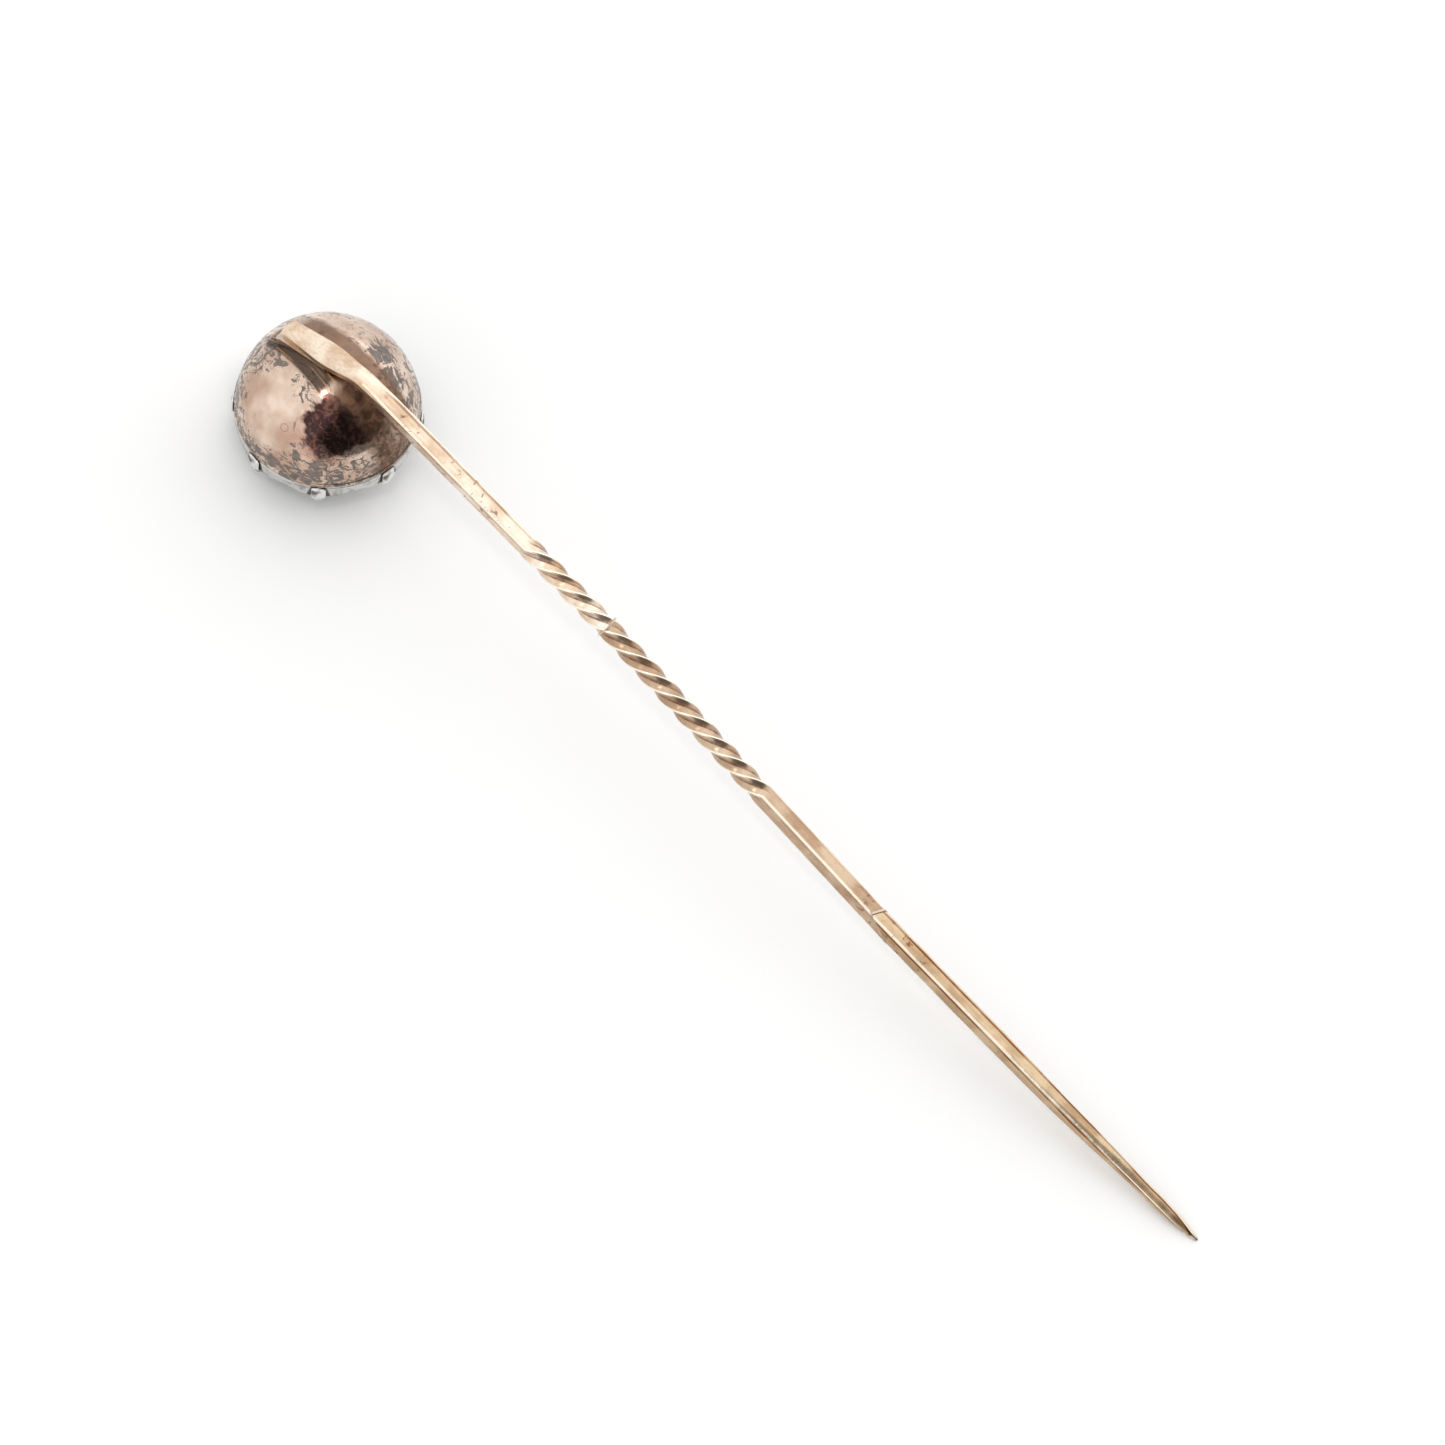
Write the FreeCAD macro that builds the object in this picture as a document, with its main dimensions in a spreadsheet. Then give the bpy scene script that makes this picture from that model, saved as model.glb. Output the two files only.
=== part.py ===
import FreeCAD, Part
import math
import os
import re

import Sketcher
from FreeCAD import Placement, Rotation, Vector

# A short hat pin, or stick pin.  A faceted stone sits in a silver collet with eight claws, and a
# hemispherical gold cup closes the back.  The pin is square gold wire: its flattened end is
# soldered over the cup, it bends forward, runs plain, twists for three turns, runs plain again,
# and is spliced at a slanted joint to a newer end that is filed to a round point.
#
# The head's own frame is used for building: the origin is the centre of the cup's edge, +X
# points along the pin towards its point, and +Z points out of the back.  At the end everything
# is turned as one to lie on a table, on two claws and the point, with +X along the pin.

SIZES = [
    ("dome_radius", 4.68, "outside of the back cup"),
    ("dome_wall", 0.35, "sheet of the back cup"),
    ("lip_width", 0.05, "how far the cup's edge stands proud"),
    ("lip_height", 0.22, "height of that edge"),
    ("solder_film", 0.06, "solder between two soldered faces"),
    ("collet_height", 1.0, "front to back of the silver band"),
    ("collet_wall", 0.42, "thickness of the silver band"),
    ("arch_radius", 1.5, "curve of the arch between two claws"),
    ("arch_rise", 0.3, "how far each arch rises into the band"),
    ("claw_count", 8, "claws around the collet"),
    ("claw_clock", -9, "angle of the claw that is nearest to the pin"),
    ("claw_width", 0.8, "across one claw"),
    ("claw_root", 0.08, "how far a claw stands off the collet at its root"),
    ("claw_thick", 0.2, "how far a claw stands off the collet lower down"),
    ("claw_nose", 0.46, "thickness of the claw over the stone"),
    ("claw_reach", 0.65, "how far a claw reaches in over the stone's edge"),
    ("claw_bevel", 0.14, "bevel along a claw's outer edges"),
    ("seat_clearance", 0.05, "between the stone and the metal around it"),
    ("bearer_width", 0.75, "seat ring, across its back"),
    ("bearer_height", 0.5, "seat ring, front to back"),
    ("girdle_edge", 0.25, "stone, thickness of its edge"),
    ("table_radius", 2.45, "stone, half the flat table across its corners"),
    ("crown_height", 0.95, "stone, from its edge to the table"),
    ("pavilion_depth", 2.7, "stone, from its edge to the cut-off tip"),
    ("culet_radius", 0.35, "stone, half the flat that ends the pavilion"),
    ("star_slope", 18, "stone, slope of the star facets"),
    ("upper_slope", 36, "stone, slope of the facets above the edge"),
    ("lower_slope", 40, "stone, slope of the facets below the edge"),
    ("foil_thick", 0.06, "foil behind the stone"),
    ("foil_clearance", 0.05, "between the foil and the stone"),
    ("strap_rise", 10, "angle of the flattened end to the cup's edge plane"),
    ("strap_back", 1.85, "flattened end, from where it touches the cup to its end"),
    ("strap_front", 3.15, "flattened end, from where it touches the cup to the bend"),
    ("strap_thick", 0.55, "flattened end, thickness"),
    ("strap_width", 1.32, "flattened end, widest"),
    ("strap_belly", 2.8, "from the flattened end's edge to where it is widest"),
    ("strap_end_width", 1.02, "flattened end, width at its end"),
    ("strap_neck_width", 0.96, "width at the bend"),
    ("strap_bevel", 0.08, "bevel along the flattened end's edges"),
    ("bend_round", 0.7, "inside radius of the bend"),
    ("pin_drop", 19, "angle of the pin below the cup's edge plane"),
    ("neck_length", 2.4, "from the bend to where the wire is square"),
    ("wire_side", 0.87, "square wire, across its flats"),
    ("wire_corner", 0.06, "bevel on the wire's corners"),
    ("shank_length", 11.6, "from the bend to the twist"),
    ("twist_lead", 5.6, "length of one full turn of the twist"),
    ("upper_turns", 1.0, "turns of the twist before the repair"),
    ("lower_turns", 2.04, "turns of the twist after the repair"),
    ("repair_radius", 0.62, "solder at the repair, half its width"),
    ("repair_bend", 1.75, "sideways bend at the repair"),
    ("middle_length", 9.1, "from the twist to the slanted joint"),
    ("scarf_length", 1.8, "length of the slanted joint"),
    ("scarf_bend", 1.5, "sideways bend back at the slanted joint"),
    ("end_length", 23.0, "from the slanted joint to the point"),
    ("taper_length", 16.0, "length of the end that is filed"),
    ("waist_radius", 0.46, "filed end, radius a third of the way up"),
    ("guard_radius", 0.34, "round stretch behind the point"),
    ("guard_length", 1.6, "length of that round stretch"),
    ("tip_length", 2.6, "from the round stretch to the point"),
    ("tip_radius", 0.05, "blunted tip"),
    ("file_lean", 1.3, "angle by which the filed end leans off the wire"),
    ("file_pivot", 10, "from the point to where that lean starts"),
    ("smear_length", 0.45, "solder beyond the end of the strap"),
    ("smear_width", 0.14, "solder beyond each side of the strap"),
    ("smear_front", 1.1, "solder ahead of where the strap touches"),
]

doc = FreeCAD.newDocument("HatPin")
sheet = doc.addObject("Spreadsheet::Sheet", "Sizes")
for row, (alias, number, note) in enumerate(SIZES, start=1):
    sheet.set("A%d" % row, alias)
    sheet.set("B%d" % row, str(number))
    sheet.set("C%d" % row, note)
    sheet.setAlias("B%d" % row, alias)
doc.recompute()


def value(alias):
    """A size of the sheet as a number."""
    return float(sheet.get(alias))


def bind(thing, path, expression):
    """Ties a property to an expression in which every word with an underscore is a size."""
    thing.setExpression(path, re.sub(r"([a-z]+(_[a-z]+)+)", r"Sizes.\1", expression))


# ---------------------------------------------------------------------------------------------
# Sketches and features


def origin(body, role):
    """A plane or an axis of a body's own origin."""
    return [feature for feature in body.Origin.OriginFeatures if feature.Role == role][0]


def new_body(name):
    body = doc.addObject("PartDesign::Body", name)
    body.Label = name
    return body


def new_sketch(body, name, plane, turn=None, along="0"):
    """A sketch on a plane of the body's origin, moved along that plane's normal."""
    sketch = body.newObject("Sketcher::SketchObject", body.Name + "_" + name)
    sketch.AttachmentSupport = [(origin(body, plane), "")]
    sketch.MapMode = "FlatFace"
    if turn:
        sketch.AttachmentOffset = Placement(Vector(), turn)
    bind(sketch, "AttachmentOffset.Base.z", along)
    return sketch


def draw_outline(sketch, corners):
    """A closed outline of straight lines; each corner is a pair of expressions."""
    count = len(corners)
    start = [Vector(math.cos(i * 2 * math.pi / count), math.sin(i * 2 * math.pi / count), 0)
             for i in range(count)]
    for index in range(count):
        sketch.addGeometry(Part.LineSegment(start[index], start[(index + 1) % count]), False)
    for index, corner in enumerate(corners):
        sketch.addConstraint(Sketcher.Constraint("Coincident", (index - 1) % count, 2, index, 1))
        for kind, expression, number in zip(("DistanceX", "DistanceY"), corner, start[index]):
            tie = sketch.addConstraint(Sketcher.Constraint(kind, -1, 1, index, 1, number))
            bind(sketch, "Constraints[%d]" % tie, expression)


def draw_circle(sketch, across, up, radius):
    """A circle whose centre and radius are expressions."""
    circle = sketch.addGeometry(Part.Circle(Vector(1, 1, 0), Vector(0, 0, 1), 1), False)
    for kind, expression in (("DistanceX", across), ("DistanceY", up)):
        tie = sketch.addConstraint(Sketcher.Constraint(kind, -1, 1, circle, 3, 1.0))
        bind(sketch, "Constraints[%d]" % tie, expression)
    tie = sketch.addConstraint(Sketcher.Constraint("Radius", circle, 1.0))
    bind(sketch, "Constraints[%d]" % tie, radius)


def pad(body, sketch, length, side="One side", reverse=False):
    feature = body.newObject("PartDesign::Pad", sketch.Name + "_pad")
    feature.Profile = sketch
    feature.SideType = side
    feature.Reversed = reverse
    bind(feature, "Length", length)
    return feature


def pocket(body, sketch, length, side="Symmetric", reverse=False):
    """A pocket that has to take something away."""
    doc.recompute()
    before = body.Shape.Volume
    feature = body.newObject("PartDesign::Pocket", sketch.Name + "_pocket")
    feature.Profile = sketch
    feature.SideType = side
    feature.Reversed = reverse
    bind(feature, "Length", length)
    doc.recompute()
    if body.Shape.Volume > before - 1e-6:
        raise RuntimeError(sketch.Name + " cuts nothing")
    return feature


def revolve(body, sketch, kind="Revolution", axis="V_Axis", angle="360"):
    feature = body.newObject("PartDesign::" + kind, sketch.Name + "_revolve")
    feature.Profile = sketch
    feature.ReferenceAxis = (sketch, [axis])
    feature.Midplane = True
    bind(feature, "Angle", angle)
    return feature


def ring_of(body, feature, count):
    """Repeats a feature around the body's Z axis."""
    pattern = body.newObject("PartDesign::PolarPattern", feature.Name + "_ring")
    pattern.Originals = [feature]
    pattern.Axis = (origin(body, "Z_Axis"), [""])
    pattern.Angle = 360
    bind(pattern, "Occurrences", count)
    body.Tip = pattern
    doc.recompute()
    return pattern


def ease_edges(body, name, radius, chosen, kind="Fillet"):
    """Rounds or bevels the edges of the body that the test picks out."""
    doc.recompute()
    base = body.Tip
    edges = ["Edge%d" % number for number, edge in enumerate(base.Shape.Edges, start=1)
             if chosen(edge)]
    feature = body.newObject("PartDesign::" + kind, body.Name + "_" + name)
    feature.Base = (base, edges)
    bind(feature, "Radius" if kind == "Fillet" else "Size", radius)
    return feature


def place(thing, *placements):
    """Puts a sub-part, and the helix that guides its twist, through a chain of placements."""
    total = Placement()
    for placement in placements:
        total = total.multiply(placement)
    carried = [thing, guides[thing]] if thing in guides else [thing]
    for item in carried:
        item.Placement = total.multiply(item.Placement)
        placed.append(item)
    sub_parts.append(thing)


def shift(x=0.0, y=0.0, z=0.0):
    return Placement(Vector(x, y, z), Rotation())


def turn(axis, degrees):
    return Placement(Vector(), Rotation(Vector(*axis), degrees))


X, Y, Z = (1, 0, 0), (0, 1, 0), (0, 0, 1)
placed = []
sub_parts = []
guides = {}

# ---------------------------------------------------------------------------------------------
# Back cup, and the seam of solder that joins it to the collet

BAND = "(dome_radius + lip_width)"
BORE = "(dome_radius + lip_width - collet_wall)"
GIRDLE = "(dome_radius + lip_width - collet_wall - seat_clearance)"


DOME_BANDS = 6


def make_back_dome():
    """A raised hemispherical cup of sheet gold with a narrow lip around its edge.

    The hidden inside is raised in flat bands, course by course, as a hammered cup is.
    """
    skin = doc.addObject("Part::Sphere", "dome_skin")
    skin.Angle1 = 0
    skin.Angle2 = 90
    bind(skin, "Radius", "dome_radius")
    lip = doc.addObject("Part::Cylinder", "dome_lip")
    bind(lip, "Radius", BAND)
    bind(lip, "Height", "lip_height")
    blank = doc.addObject("Part::Fuse", "dome_blank")
    blank.Base = skin
    blank.Tool = lip
    hollow = new_body("dome_hollow")
    sketch = new_sketch(hollow, "bands", "XZ_Plane")
    inside = "(dome_radius - dome_wall)"
    corners = [(inside, "-lip_height")]
    for step in range(DOME_BANDS):
        angle = str(90 * step / DOME_BANDS)
        corners.append((inside + " * cos(" + angle + ")", inside + " * sin(" + angle + ")"))
    corners.append(("0", inside))
    corners.append(("0", "-lip_height"))
    draw_outline(sketch, corners)
    revolve(hollow, sketch)
    dome = doc.addObject("Part::Cut", "back_dome")
    dome.Base = blank
    dome.Tool = hollow
    dome.Label = "back_dome"
    place(dome)


def make_rim_solder():
    """The solder seam between the cup's edge and the collet."""
    body = new_body("rim_solder")
    sketch = new_sketch(body, "ring", "XY_Plane")
    draw_circle(sketch, "0", "0", BAND)
    draw_circle(sketch, "0", "0", "dome_radius - dome_wall")
    pad(body, sketch, "solder_film", reverse=True)
    place(body)


# ---------------------------------------------------------------------------------------------
# Collet, its seat ring and its claws


def make_collet():
    """A silver band, filed into a low arch between each two claws."""
    body = new_body("collet")
    sketch = new_sketch(body, "ring", "XY_Plane", along="-solder_film")
    draw_circle(sketch, "0", "0", BAND)
    draw_circle(sketch, "0", "0", BORE)
    pad(body, sketch, "collet_height - solder_film", reverse=True)
    arch = new_sketch(body, "arch", "YZ_Plane")
    draw_circle(arch, "0", "arch_rise - arch_radius - collet_height", "arch_radius")
    cut = pocket(body, arch, "2 * " + BAND, side="One side", reverse=True)
    ring_of(body, cut, "claw_count")
    place(body, turn(Z, value("claw_clock") + 180 / value("claw_count")))


def make_bearer():
    """The seat ring: its slope carries the stone just behind the stone's edge."""
    body = new_body("bearer")
    sketch = new_sketch(body, "section", "XZ_Plane")
    seat = "(girdle_edge - collet_height + seat_clearance / cos(lower_slope))"
    back = "(-solder_film)"
    front = "(-solder_film - bearer_height)"
    draw_outline(sketch, [
        (BORE, back),
        (GIRDLE + " - (" + back + " - " + seat + ") / tan(lower_slope)", back),
        (GIRDLE + " - (" + front + " - " + seat + ") / tan(lower_slope)", front),
        (BORE, front),
    ])
    revolve(body, sketch)
    place(body)


def make_claws():
    """Claws that run down the collet and bend in over the edge of the stone."""
    slope = "tan(upper_slope)"
    lift = "seat_clearance / cos(upper_slope)"
    edge = "-collet_height"
    tip = "(" + GIRDLE + " - claw_reach)"
    under = "(-collet_height - claw_reach * " + slope + " - " + lift + ")"
    corners = [
        (BAND, "-solder_film"),
        (BAND, edge),
        (GIRDLE + " + " + lift + " / " + slope, edge),
        (tip, under),
        (tip, under + " - 0.45 * claw_nose"),
        (tip + " + 0.35 * claw_reach", under + " - 0.8 * claw_nose"),
        (GIRDLE + " + 0.3 * collet_wall", "-collet_height - 0.95 * claw_nose"),
        (BAND + " + claw_thick", "-collet_height - 0.35 * claw_nose"),
        (BAND + " + claw_thick", "-0.5 * collet_height"),
        (BAND + " + claw_root", "-solder_film"),
    ]
    for number in range(int(value("claw_count"))):
        body = new_body("claw_%d" % (number + 1))
        sketch = new_sketch(body, "side", "XZ_Plane")
        draw_outline(sketch, corners)
        revolve(body, sketch, angle="claw_width / " + BAND + " * 180 / pi")
        ease_edges(body, "bevel", "claw_bevel", is_outer_claw_edge, kind="Chamfer")
        place(body, turn(Z, value("claw_clock") + number * 360 / value("claw_count")))


def is_outer_claw_edge(edge):
    """True for the long edges on the face of a claw that is turned away from the stone."""
    middle = edge.valueAt((edge.FirstParameter + edge.LastParameter) / 2)
    reach = math.hypot(middle.x, middle.y)
    band = value("dome_radius") + value("lip_width")
    half = value("claw_width") / band / 2
    on_side = abs(abs(math.atan2(middle.y, middle.x)) - half) < 1e-4
    low = -value("collet_height") - 0.6 * value("claw_nose")
    outside = reach > band + 0.5 * value("claw_root") and middle.z < -value("solder_film") - 1e-4
    below = middle.z < low and reach < band + value("claw_thick")
    inner = reach < band - value("collet_wall") - value("claw_reach") + 1e-3
    return on_side and (outside or below) and not inner


# ---------------------------------------------------------------------------------------------
# Stone and foil.  The stone is cut from a round blank, ring of facets by ring of facets.


def cut_facets(body, name, count, half_step, radius, level, rise, side):
    """One ring of flat facets; each passes the radius at the level and rises inwards."""
    angle = 360.0 / count / 2 if half_step else 0.0
    sketch = new_sketch(body, name, "XZ_Plane", turn=Rotation(Vector(0, 1, 0), angle))
    outer = "(" + radius + " + 0.2 * " + GIRDLE + ")"
    top = side + " * (" + level + " + " + radius + " * " + rise + ")"
    draw_outline(sketch, [
        (outer, side + " * (" + level + " - 0.2 * " + GIRDLE + " * " + rise + ")"),
        ("0", top),
        (outer, top),
    ])
    ring_of(body, pocket(body, sketch, "3 * " + GIRDLE), str(count))


def make_stone():
    """A round stone with a flat table, three rings of facets before its edge and two behind."""
    body = new_body("stone")
    blank = new_sketch(body, "blank", "XY_Plane", along="girdle_edge / 2 + crown_height")
    draw_circle(blank, "0", "0", GIRDLE)
    pad(body, blank, "girdle_edge + crown_height + pavilion_depth", reverse=True)
    girdle = "girdle_edge / 2"
    table = "(girdle_edge / 2 + crown_height)"
    across = "(" + GIRDLE + " * cos(11.25))"
    cut_facets(body, "crown", 8, False, GIRDLE, girdle,
               "(crown_height / (" + GIRDLE + " - table_radius))", "1")
    cut_facets(body, "upper", 16, True, across, girdle, "tan(upper_slope)", "1")
    cut_facets(body, "star", 8, True, "(table_radius * cos(22.5))", table, "tan(star_slope)", "1")
    cut_facets(body, "pavilion", 8, False, GIRDLE, girdle,
               "(pavilion_depth / (" + GIRDLE + " - culet_radius))", "-1")
    cut_facets(body, "lower", 16, True, across, girdle, "tan(lower_slope)", "-1")
    place(body, turn(Z, value("claw_clock") + 180 / value("claw_count")),
          shift(z=value("girdle_edge") / 2 - value("collet_height")), turn(X, 180))


def make_foil():
    """A shallow cone of foil that lines the space behind the stone."""
    body = new_body("foil")
    sketch = new_sketch(body, "section", "XZ_Plane")
    rise = "(pavilion_depth / (" + GIRDLE + " - culet_radius))"
    edge = "(girdle_edge - collet_height)"
    outer = "(" + BORE + " - bearer_width - 0.5)"
    apex = edge + " + " + GIRDLE + " * " + rise

    def level(radius, gap):
        return apex + " - " + radius + " * " + rise + " * cos(22.5) + " + gap

    draw_outline(sketch, [
        (outer, level(outer, "foil_clearance")),
        (outer, level(outer, "foil_clearance + foil_thick")),
        ("culet_radius", level("culet_radius", "foil_clearance + foil_thick")),
        ("culet_radius", level("culet_radius", "foil_clearance")),
    ])
    revolve(body, sketch)
    place(body)


# ---------------------------------------------------------------------------------------------
# Square wire


def draw_square(sketch):
    """The wire's section: a square with bevelled corners."""
    flat = "(wire_side / 2)"
    edge = "(wire_side / 2 - wire_corner)"
    draw_outline(sketch, [
        (flat, edge), (edge, flat), ("-" + edge, flat), ("-" + flat, edge),
        ("-" + flat, "-" + edge), ("-" + edge, "-" + flat), (edge, "-" + flat), (flat, "-" + edge),
    ])


def straight_wire(body, name, start, length, roll=0.0):
    sketch = new_sketch(body, name, "YZ_Plane", turn=Rotation(Vector(0, 0, 1), roll), along=start)
    draw_square(sketch)
    return pad(body, sketch, length)


def twisted_wire(body, start, turns, roll=0.0):
    """Square wire twisted left-handed: the section follows a helix around a straight spine."""
    section = new_sketch(body, "twist", "YZ_Plane", turn=Rotation(Vector(0, 0, 1), roll), along=start)
    draw_square(section)
    spine = new_sketch(body, "spine", "XZ_Plane")
    line = spine.addGeometry(Part.LineSegment(Vector(0, 0, 0), Vector(1, 0, 0)), False)
    for end, expression in ((1, start), (2, start + " + " + turns + " * twist_lead")):
        tie = spine.addConstraint(Sketcher.Constraint("DistanceX", -1, 1, line, end, end - 1.0))
        bind(spine, "Constraints[%d]" % tie, expression)
        spine.addConstraint(Sketcher.Constraint("PointOnObject", line, end, -1))
    helix = doc.addObject("Part::Helix", body.Name + "_helix")
    helix.LocalCoord = "Left-handed"
    helix.Radius = 2
    bind(helix, "Pitch", "twist_lead")
    bind(helix, "Height", turns + " * twist_lead")
    doc.recompute()
    helix.Placement = shift(x=section.AttachmentOffset.Base.z).multiply(turn(Y, 90))
    guides[body] = helix
    doc.recompute()
    guide = body.newObject("PartDesign::SubShapeBinder", body.Name + "_guide")
    guide.Support = [(helix, ("Edge1",))]
    doc.recompute()
    pipe = body.newObject("PartDesign::AdditivePipe", body.Name + "_twist_pipe")
    pipe.Profile = (section, [""])
    pipe.Spine = (spine, ["Edge1"])
    pipe.Mode = "Auxiliary"
    pipe.AuxiliarySpine = (guide, ["Edge1"])
    pipe.AuxiliaryCurvilinear = True
    return pipe


# ---------------------------------------------------------------------------------------------
# Pin.  Its frame has its origin where the strap's axis meets the pin's axis at the bend.

BEND = "(strap_rise + pin_drop)"
STRAP = "(strap_back + strap_front)"


def along_strap(distance, offset):
    """A point of the side view, at a distance back from the bend and an offset off the axis."""
    across = "-(" + distance + ") * cos(" + BEND + ") - (" + offset + ") * sin(" + BEND + ")"
    up = "-(" + distance + ") * sin(" + BEND + ") + (" + offset + ") * cos(" + BEND + ")"
    return across, up


def make_pin_strap():
    """The upper half of the pin: flattened end, bend, plain wire and the first of the twist."""
    body = new_body("pin_strap")
    side = new_sketch(body, "side", "XZ_Plane")
    mitre = "(strap_thick / 2 * tan(" + BEND + " / 2))"
    draw_outline(side, [
        along_strap(STRAP, "-strap_thick / 2"),
        (mitre, "-strap_thick / 2"),
        ("neck_length", "-wire_side / 2"),
        ("neck_length", "wire_side / 2"),
        ("-" + mitre, "strap_thick / 2"),
        along_strap(STRAP, "strap_thick / 2"),
    ])
    pad(body, side, "2 * strap_width", side="Symmetric")
    for name, sign in (("left", "1"), ("right", "-1")):
        trim = new_sketch(body, name, "XY_Plane")
        far = "-" + STRAP + " * cos(" + BEND + ") - strap_thick"
        draw_outline(trim, [
            (far, sign + " * strap_end_width / 2"),
            ("-(" + STRAP + " - strap_belly) * cos(" + BEND + ")", sign + " * strap_width / 2"),
            ("0", sign + " * strap_neck_width / 2"),
            ("neck_length", sign + " * wire_side / 2"),
            ("neck_length", sign + " * 2 * strap_width"),
            (far, sign + " * 2 * strap_width"),
        ])
        pocket(body, trim, "4 * " + STRAP)
    half = value("strap_thick") / 2
    lean = math.tan(math.radians(value("strap_rise") + value("pin_drop")) / 2)

    def crosses_at(x, z):
        return lambda edge: (edge.CenterOfMass - Vector(x, 0, z)).Length < 1e-3

    ease_edges(body, "bend_inside", "bend_round", crosses_at(half * lean, -half))
    ease_edges(body, "bend_outside", "bend_round + strap_thick", crosses_at(-half * lean, half))
    ease_edges(body, "edges", "strap_bevel", is_strap_edge, kind="Chamfer")
    straight_wire(body, "shank", "neck_length", "shank_length - neck_length")
    twisted_wire(body, "shank_length", "upper_turns")
    place(body, pin_frame)


def is_strap_edge(edge):
    """True for the long edges of the strap's two broad faces and for its end corners."""
    ends = [vertex.Point for vertex in edge.Vertexes]
    beyond = all(point.x < value("neck_length") - 1e-3 for point in ends)
    crosses = abs(sum(point.y for point in ends)) < 1e-3
    at_end = crosses and max(point.x for point in ends) < -value("strap_front")
    return at_end or (not crosses and (beyond or len(set(p.x > 0 for p in ends)) == 2
                                       or any(p.x < value("neck_length") - 1e-3 for p in ends)))


def make_strap_solder():
    """Solder that fills the gap between the flat strap and the round cup, and runs out past it."""
    body = new_body("solder_block")
    side = new_sketch(body, "side", "XZ_Plane")
    draw_outline(side, [
        ("-strap_back - smear_length", "-dome_radius / 2"),
        ("smear_front", "-dome_radius / 2"),
        ("smear_front", "solder_film"),
        ("-strap_back", "solder_film"),
        ("-strap_back - smear_length / 2", "-solder_film"),
        ("-strap_back - smear_length", "-4 * solder_film"),
    ])
    pad(body, side, "strap_end_width + 2 * smear_width", side="Symmetric")
    ease_edges(body, "corners", "smear_length / 2", lambda edge: is_upright(edge, -1))
    cup = doc.addObject("Part::Sphere", "solder_cup")
    cup.Angle1 = -90
    cup.Angle2 = 90
    bind(cup, "Radius", "dome_radius")
    bind(cup, "Placement.Base.z", "-dome_radius")
    solder = doc.addObject("Part::Cut", "strap_solder")
    solder.Base = body
    solder.Tool = cup
    solder.Label = "strap_solder"
    place(solder, turn(Y, -value("strap_rise")), shift(z=value("dome_radius")))


def is_upright(edge, side):
    """True for the upright corner edges at one end of a block."""
    ends = [vertex.Point for vertex in edge.Vertexes]
    upright = abs(ends[0].x - ends[1].x) < 1e-4 and abs(ends[0].y - ends[1].y) < 1e-4
    return upright and ends[0].x * side > 0


SCARF_STEP = "solder_film / sin(atan(wire_side / scarf_length))"


def cut_scarf(body, name, gap, keep):
    """Cuts a wire off along the slanted joint and keeps the part on one side of it."""
    sketch = new_sketch(body, name, "XZ_Plane")
    centre = {"pin_middle": "(lower_turns * twist_lead + middle_length)"}.get(body.Name, "0")
    far = centre + (" + 3 * scarf_length" if keep < 0 else " - 3 * scarf_length")
    draw_outline(sketch, [
        (centre + " + " + gap + " - scarf_length", "wire_side"),
        (centre + " + " + gap + " + scarf_length", "-wire_side"),
        (far, "-wire_side"),
        (far, "wire_side"),
    ])
    pocket(body, sketch, "4 * wire_side")


def make_pin_middle():
    """The lower half of the old wire: two turns of the twist, then plain to the slanted joint."""
    body = new_body("pin_middle")
    twisted_wire(body, "0", "lower_turns", roll=start_roll)
    straight_wire(body, "plain", "lower_turns * twist_lead", "middle_length + scarf_length",
                  roll=end_roll)
    cut_scarf(body, "scarf", "0", keep=-1)
    place(body, middle_frame)


def make_scarf_solder():
    """The slanted layer of solder in the splice."""
    body = new_body("scarf_solder")
    straight_wire(body, "wire", "-1.5 * scarf_length", "3 * scarf_length", roll=end_roll)
    cut_scarf(body, "upper", "0", keep=1)
    cut_scarf(body, "lower", SCARF_STEP, keep=-1)
    place(body, middle_frame, shift(x=middle_end))


def make_pin_point():
    """The newer end: square wire filed down to a round point that a pin guard grips."""
    body = new_body("pin_point")
    straight_wire(body, "wire", "-scarf_length", "end_length + scarf_length", roll=end_roll)
    cut_scarf(body, "scarf", SCARF_STEP + " + wire_side * sin(scarf_bend)", keep=1)
    lean = Rotation(Vector(0, 0, 1), value("file_lean"))
    envelope = new_sketch(body, "filing", "XY_Plane", turn=lean)
    bind(envelope, "AttachmentOffset.Base.x", "end_length - file_pivot")
    corners = [("file_pivot - " + back, radius) for back, radius in (
        ("taper_length", "wire_side * 0.7"),
        ("(0.7 * (tip_length + guard_length) + 0.3 * taper_length)", "waist_radius"),
        ("(tip_length + guard_length)", "guard_radius"),
        ("tip_length", "guard_radius"),
        ("0.72 * tip_length", "0.9 * guard_radius"),
        ("0.35 * tip_length", "0.62 * guard_radius"),
        ("0.04 * tip_length", "tip_radius + 0.2 * (guard_radius - tip_radius)"),
        ("0", "tip_radius"),
        ("0", "0"),
    )]
    corners.append(("file_pivot + wire_side", "0"))
    corners.append(("file_pivot + wire_side", "2 * wire_side"))
    corners.append(("file_pivot - taper_length", "2 * wire_side"))
    draw_outline(envelope, corners)
    revolve(body, envelope, kind="Groove", axis="H_Axis")
    place(body, point_frame)


def make_twist_solder():
    """The layer of solder that holds the broken twist together, end to end."""
    body = new_body("twist_solder")
    sketch = new_sketch(body, "disc", "YZ_Plane")
    draw_circle(sketch, "0", "0", "repair_radius")
    pad(body, sketch, "solder_film")
    place(body, pin_frame, shift(x=upper_end))


# ---------------------------------------------------------------------------------------------
# Assembly


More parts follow.
